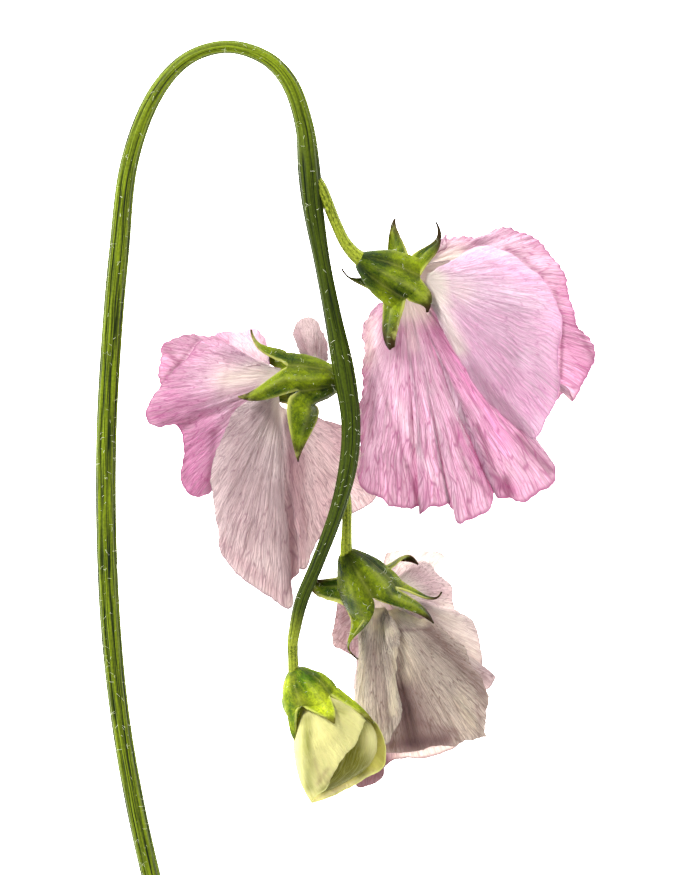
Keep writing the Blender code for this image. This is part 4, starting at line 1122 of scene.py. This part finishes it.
def pod(name, finish, line, rings=70, sides=72, seed=5):
    """A closed plump body round a bent line of (x, y, z, half width, half height)."""
    rows = through(line, rings)
    verts, tone, chart = [], [], []
    for k, (x, y, z, wide, high) in enumerate(rows):
        for step in range(sides):
            turn = step / sides * math.tau
            spot = Vector((math.cos(turn) * 1.5, math.sin(turn) * 1.5, k / rings * 5 + seed))
            puff = 1 + 0.06 * float(noise.fractal(spot, 1.0, 2.0, 3))
            seam = 0.12 * math.exp(-(math.sin(turn) / 0.12) ** 2) * (math.cos(turn) > 0)
            verts.append((x + math.cos(turn) * wide * (puff - seam), y, z + math.sin(turn) * high * puff))
            aside, above = verts[-1][0] - POD_BULGE[0], y - POD_BULGE[1]
            bulge = math.exp(-(aside / 1.5) ** 2 - (above / 3.2) ** 2)
            # the alpha is painted shade over the pod, lifted where it bulges past the upper half
            tone.append((1.0 - 0.85 * bulge, 0.0, 0.0, 0.72 + 0.28 * bulge))
            chart.append((step / sides, k / rings))
    faces = [(k * sides + step, k * sides + (step + 1) % sides, (k + 1) * sides + (step + 1) % sides,
              (k + 1) * sides + step) for k in range(rings - 1) for step in range(sides)]
    faces += [tuple(reversed(range(sides))), tuple((rings - 1) * sides + step for step in range(sides))]
    faces = [face[::-1] for face in faces]
    return mesh_piece(name, np.array(verts), faces, FINISHES[finish], np.array(tone), chart)


bud_pod = pod("bud_pod", "bud", [
    (53.4, 13.8, 19.2, 0.2, 0.2), (54.8, 15.2, 19.6, 2.2, 1.4), (57.0, 18.0, 20.0, 4.2, 2.2),
    (58.0, 21.4, 20.2, 5.0, 2.6), (57.8, 24.6, 20.4, 4.6, 2.6), (56.0, 27.4, 20.4, 3.4, 2.2),
    (54.2, 29.2, 20.4, 2.0, 1.6)])

# %% [markdown]
# ## The calyx
# Five sepals are joined into a bell and part into five pointed teeth, which curl as they like. The
# bell is rings round an axis; each tooth is a leaf on a bent path from the bell's rim to its own
# tip, as long as the rim reaches forward there. Solidify gives the wall, and veins are raised.

# %% Calyx surface
TOOTH_COLUMNS = 18
BELL_ROWS = 26
TOOTH_ROWS = 26
SEPAL_THICKNESS = 0.32


def calyx(name, finish, base, mouth, base_radius, mouth_radius, teeth, seed, fullness=0.7, notch=(0.0,) * 5,
          facet=0.0, broad=2.0, dry_from=0.6):
    """A bell of joined sepals from base to mouth, with one tooth for each row of teeth."""
    base, mouth = Vector(base), Vector(mouth)
    along = (mouth - base).normalized()
    near = (Vector((0.0, 0.0, 1.0)) - along * along.z).normalized()
    side = near.cross(along)
    if side.y < 0:
        side.negate()
    teeth = sorted(teeth, key=lambda tooth: tooth[0])
    total = len(teeth) * TOOTH_COLUMNS

    def out(angle):
        return side * math.cos(math.radians(angle)) + near * math.sin(math.radians(angle))

    angles, reaches, ribs, ridges = [], [], [], []
    for index, (angle, reach, *_) in enumerate(teeth):
        before, after = teeth[index - 1], teeth[(index + 1) % len(teeth)]
        start = (before[0] - (360 if index == 0 else 0) + angle) / 2
        end = (after[0] + (360 if index == len(teeth) - 1 else 0) + angle) / 2
        for step in range(TOOTH_COLUMNS):
            part = step / TOOTH_COLUMNS
            angles.append(start + (angle - start) * part * 2 if part < 0.5
                          else angle + (end - angle) * (part * 2 - 1))
            swell = max(math.cos((part - 0.5) * math.pi), 0.0) ** broad
            cut = notch[index if part < 0.5 else (index + 1) % len(teeth)]
            valley = ((before[1] if part < 0.5 else after[1]) + reach) / 2 - cut
            reaches.append(valley + (reach - valley) * swell)
            ridges.append(1 - abs(2 * part - 1))
            ribs.append(max(math.exp(-((part - 0.5) / 0.06) ** 2),
                            0.8 * math.exp(-(min(part, 1 - part) / 0.05) ** 2)))
    verts, tone, chart, faces = [], [], [], []
    length = (mouth - base).length
    for row in range(BELL_ROWS):
        t = row / (BELL_ROWS - 1)
        radius = base_radius + (mouth_radius - base_radius) * math.sin(t * math.pi / 2) ** fullness
        for angle, reach, rib, ridge in zip(angles, reaches, ribs, ridges):
            turn = math.radians(angle)
            spot = Vector((math.cos(turn) * 2.0, math.sin(turn) * 2.0, t * 3 + seed))
            bump = 0.22 * noise.fractal(spot, 1.0, 2.0, 3) * math.sin(t * math.pi)
            bump += 0.16 * rib * ease(0.05, 0.4, t)
            corner = facet * (ridge - 0.5) * math.sin(t * math.pi / 2)
            verts.append(base + along * t * (length + reach * t)
                         + out(angle) * (radius + float(bump) + corner))
            # painted shade: darker towards the notches between the teeth, a little lighter along each tooth's
            # middle
            painted_shade = 0.55 + 0.5 * float(ease(0.15, 0.8, ridge))
            tone.append((rib * float(ease(0.1, 0.5, t)), 0.0, 0.0, painted_shade))
            chart.append(((len(chart) % total) / total, t * length))
    for row in range(BELL_ROWS - 1):
        for k in range(total):
            following = (k + 1) % total
            faces.append((row * total + k, row * total + following, (row + 1) * total + following,
                          (row + 1) * total + k))
    faces.append(tuple(reversed(range(total))))
    rim = (BELL_ROWS - 1) * total
    for index, (angle, reach, tip, swell, blunt, curl, *spread) in enumerate(teeth):
        foot = [rim + (index * TOOTH_COLUMNS + k) % total for k in range(TOOTH_COLUMNS + 1)]
        root = verts[foot[TOOTH_COLUMNS // 2]].copy()
        tip, curl = Vector(tip), Vector(curl)
        power, blunt = 0.75 - 2.0 * min(blunt, 0.0), max(blunt, 0.0)
        bend = root.lerp(tip, 0.5) + out(angle) * swell
        previous = foot
        for row in range(1, TOOTH_ROWS + 1):
            s = row / TOOTH_ROWS
            centre = (root * (1 - s) ** 2 + bend * 2 * s * (1 - s) + tip * s ** 2
                      + curl * s * s * (1 - s) * 4)
            width = (1 - s) ** power * (1 - blunt) + blunt
            width *= 1 + 0.06 * noise.noise(Vector((s * 9.0, index * 3.0, seed)))
            line = []
            for k, vert in enumerate(foot):
                w = k / TOOTH_COLUMNS * 2 - 1
                keel = 0.2 * math.exp(-(w / 0.16) ** 2) * (1 - s)
                line.append(len(verts))
                leaf = Vector(spread[0]) * w * math.sin(math.pi * s ** 0.4) if spread else Vector()
                verts.append(centre + (verts[vert] - root) * max(width, 0.015) + out(angle) * keel + leaf)
                # painted highlight along both edges of a tooth, fading towards its tip
                lit = float(ease(0.72, 1.0, abs(w))) * (1 - s * 0.5)
                dry = float(ease(dry_from, 0.95, s + 0.15 * abs(w)))
                tone.append((math.exp(-(w / 0.16) ** 2) * (1 - s), dry, lit, 1.0))
                chart.append((((index * TOOTH_COLUMNS + k) / total), length + s * (tip - root).length))
            for k in range(TOOTH_COLUMNS):
                faces.append((previous[k], previous[k + 1], line[k + 1], line[k]))
            previous = line
    piece = mesh_piece(name, np.array([vert[:] for vert in verts]), faces, FINISHES[finish],
                       np.array(tone), chart)
    wall = piece.modifiers.new("wall", "SOLIDIFY")
    wall.thickness = SEPAL_THICKNESS * MM
    wall.offset = 0.0
    return freeze(piece, name)

# %% [markdown]
# ## Four calyces
# Each tooth's row gives its angle round the axis, how far the rim reaches there, where its tip is,
# its outward swell, its bluntness, its curl and sometimes a sideways spread. There is one notch
# before each tooth, in the order of the angles.

# %% Upper calyx
pieces["upper_calyx"] = calyx(
    "upper_sepals", "calyx", (60.0, 102.4, 21.7), (67.3, 98.6, 20.2), 1.3, 4.4,
    [(156, -0.2, (65.0, 87.4, 25.0), 1.0, 0.3, (-0.5, -0.2, 0.3)),
     (92, 1.4, (71.2, 93.8, 25.0), 0.9, 0.12, (1.3, 0.8, 0)),
     (26, 0.4, (72.6, 108.6, 23.6), 0.6, -0.1, (2.2, -1.8, 0)),
     (-38, -3.2, (65.9, 109.4, 17.5), 0.8, -0.1, (-1.0, 0, 0)),
     (-125, -3.8, (57.0, 101.0, 15.4), 0.6, -0.9, (-0.3, -0.8, 0))], seed=1, fullness=0.8,
    notch=(-0.4, -0.4, -0.4, -0.4, -0.3), facet=1.1, broad=1.2, dry_from=0.25)

# %% Middle calyx
pieces["middle_calyx"] = calyx(
    "middle_sepals", "calyx", (56.2, 82.4, 19.7), (48.6, 82.3, 19.0), 1.8, 4.4,
    [(140, -3.4, (49.7, 68.9, 21.6), 1.0, -0.8, (-0.6, 0.2, 1.2), (2.4, 0.4, 0.0)),
     (86, 0.5, (39.8, 79.7, 23.0), 0.7, 0.0, (-0.2, -1.4, 0)),
     (22, 0.6, (41.9, 90.8, 21.0), -0.2, 0.0, (-1.2, -1.6, 0)),
     (-50, 0.0, (43.2, 86.2, 10.8), 0.8, 0.0, (0, 0, 0)), (-120, 0.0, (44.6, 79.6, 11.4), 0.8, 0.0, (0, 0, 0))],
    seed=2, fullness=0.8, notch=(0.4,) * 5, facet=0.8, broad=1.6)

# %% Lower calyx
pieces["lower_calyx"] = calyx(
    "lower_sepals", "calyx", (57.7, 53.6, 18.3), (62.4, 45.8, 15.8), 1.3, 4.9,
    [(58, -0.4, (72.2, 42.0, 18.4), 0.8, 0.0, (0.2, 1.0, 0)),
     (4, 0.4, (73.6, 47.2, 16.0), 0.0, -0.4, (0.6, -2.4, 0)),
     (-50, -2.8, (69.7, 51.7, 12.6), 0.6, 0.0, (-0.6, 2.4, 0), (0.4, 1.1, 0.0)),
     (-118, -3.0, (51.8, 49.0, 12.4), 1.6, 0.1, (-0.8, -0.8, 0)),
     (122, 1.0, (59.7, 36.0, 17.6), 0.3, -1.1, (-3.4, 0.6, 0))], seed=3, fullness=0.8,
    notch=(0.9, 0.9, 0.9, 0.9, 2.2), facet=0.8, broad=0.7)

# %% Bud calyx
pieces["bud_calyx"] = calyx(
    "bud_sepals", "bud calyx", (49.1, 34.2, 21.3), (51.7, 29.2, 20.4), 1.2, 4.5,
    [(150, 0.2, (49.9, 21.9, 21.8), 0.5, 0.0, (-0.5, 0, 0.4), (0.8, 0.0, 0.0)),
     (70, 0.6, (55.7, 25.6, 26.6), 0.3, 0.0, (0.3, 0.4, 0.6)),
     (10, 0.0, (62.2, 25.6, 21.0), 0.2, 0.0, (0.3, 0.3, 0.8)),
     (-52, 0.0, (58.0, 23.6, 14.0), 0.8, 0.0, (0, 0, 0)),
     (-122, 0.0, (51.0, 23.6, 14.0), 0.8, 0.0, (0, 0, 0))], seed=4, fullness=0.8,
    notch=(0.0, 0.0, 0.0, 0.2, 0.9), facet=0.5, broad=1.4)

# %% [markdown]
# The hairs are thickest on the lower calyx and longest on the stalk. Each row gives how many stand
# on a square metre, their length in metres and the seed of their places.

# %% Down on the stalk and the sepals
DOWN = {"stem": (300000.0, 0.00085, 5), "upper_calyx": (260000.0, 0.0006, 6),
        "middle_calyx": (260000.0, 0.0006, 7), "lower_calyx": (420000.0, 0.0008, 8),
        "bud_calyx": (160000.0, 0.0005, 9)}
down = [downy(pieces[node], node + "_down", *row) for node, row in DOWN.items()]

# %% [markdown]
# ## Hand every piece over
# The whole sprig is one body, so every piece rides on the root. Each takes the place of its solid.

# %% Ride and replace
SLOTS = {row["node"]: row["material_slot"] for row in frame["record"]["subparts"]}
for node, piece in pieces.items():
    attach(piece, "root")
    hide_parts(node)
extras = [(piece, "calyx") for piece in down]
extras += [(bud_pod, SLOTS["bud_standard"]), (cut_end, SLOTS["stem"])]
for piece, slot in extras:
    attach(piece, "root")
print(len(pieces) + len(extras), "pieces")

# %% [markdown]
# ## Table, light and camera
# The sprig lies on a white light table. The table glows a little, so light comes up through the
# petals, and wide soft lamps overhead shape the folds. The camera looks straight down through a
# long lens, which keeps the layout true.

# %% Table
TABLE_SIZE = 3.0
TABLE_DROP = 0.0002    # just under the lowest petal
TABLE_GLOW = 2.9
bpy.ops.mesh.primitive_plane_add(size=TABLE_SIZE, location=(0.0, 0.0, -TABLE_DROP))
table = bpy.context.object
table.name = "table"
table_finish, _, table_shader = new_finish("light table")
table_shader.inputs["Base Color"].default_value = (0.9, 0.9, 0.9, 1.0)
table_shader.inputs["Roughness"].default_value = 0.8
table_shader.inputs["Emission Color"].default_value = (1.0, 1.0, 1.0, 1.0)
table_shader.inputs["Emission Strength"].default_value = TABLE_GLOW
table.data.materials.append(table_finish)

# %% [markdown]
# A strong soft lamp at the upper left draws the folds, a weak one fills them, and a white sky,
# brighter near the horizon, does the rest.

# %% Lamps and sky
SPRIG_MIDDLE = Vector((0.0, 0.0, 0.01))
KEY_POWER, FILL_POWER = 46.0, 4.0
SKY_LOW, SKY_HIGH = 1.05, 0.72


def lamp(name, place, size, power):
    """A square lamp that looks at the sprig."""
    light = bpy.data.lights.new(name, "AREA")
    light.size = size
    light.energy = power
    holder = bpy.data.objects.new(name, light)
    holder.location = place
    holder.rotation_euler = (SPRIG_MIDDLE - Vector(place)).to_track_quat("-Z", "Y").to_euler()
    bpy.context.collection.objects.link(holder)


lamp("key", (-1.0, 0.9, 0.9), 0.4, KEY_POWER)
lamp("fill", (0.6, -0.2, 0.6), 0.6, FILL_POWER)
world = bpy.data.worlds.new("studio")
world.use_nodes = True
sky = world.node_tree
look = add(sky, "ShaderNodeSeparateXYZ", {0: sky.nodes.new("ShaderNodeTexCoord").outputs["Generated"]})
background = sky.nodes["Background"].inputs
background["Color"].default_value = (1.0, 1.0, 1.0, 1.0)
sky.links.new(between(sky, look.outputs[2], 0.2, 0.5, SKY_LOW, SKY_HIGH), background["Strength"])
bpy.context.scene.world = world

# %% Camera
LENS = 400.0
SENSOR = 36.0
PICTURE_HEIGHT = 145.8     # what the camera sees from top to bottom, on the sheet
PICTURE_MIDDLE = (58.33, 72.9, 15.0)
camera_data = bpy.data.cameras.new("camera")
camera_data.lens = LENS
camera_data.sensor_width = SENSOR
camera = bpy.data.objects.new("camera", camera_data)
centre = to_frame(PICTURE_MIDDLE)
camera.location = (centre[0], centre[1], centre[2] + PICTURE_HEIGHT * MM * LENS / SENSOR)
bpy.context.collection.objects.link(camera)
bpy.context.scene.camera = camera
bpy.context.scene.view_settings.view_transform = "Standard"
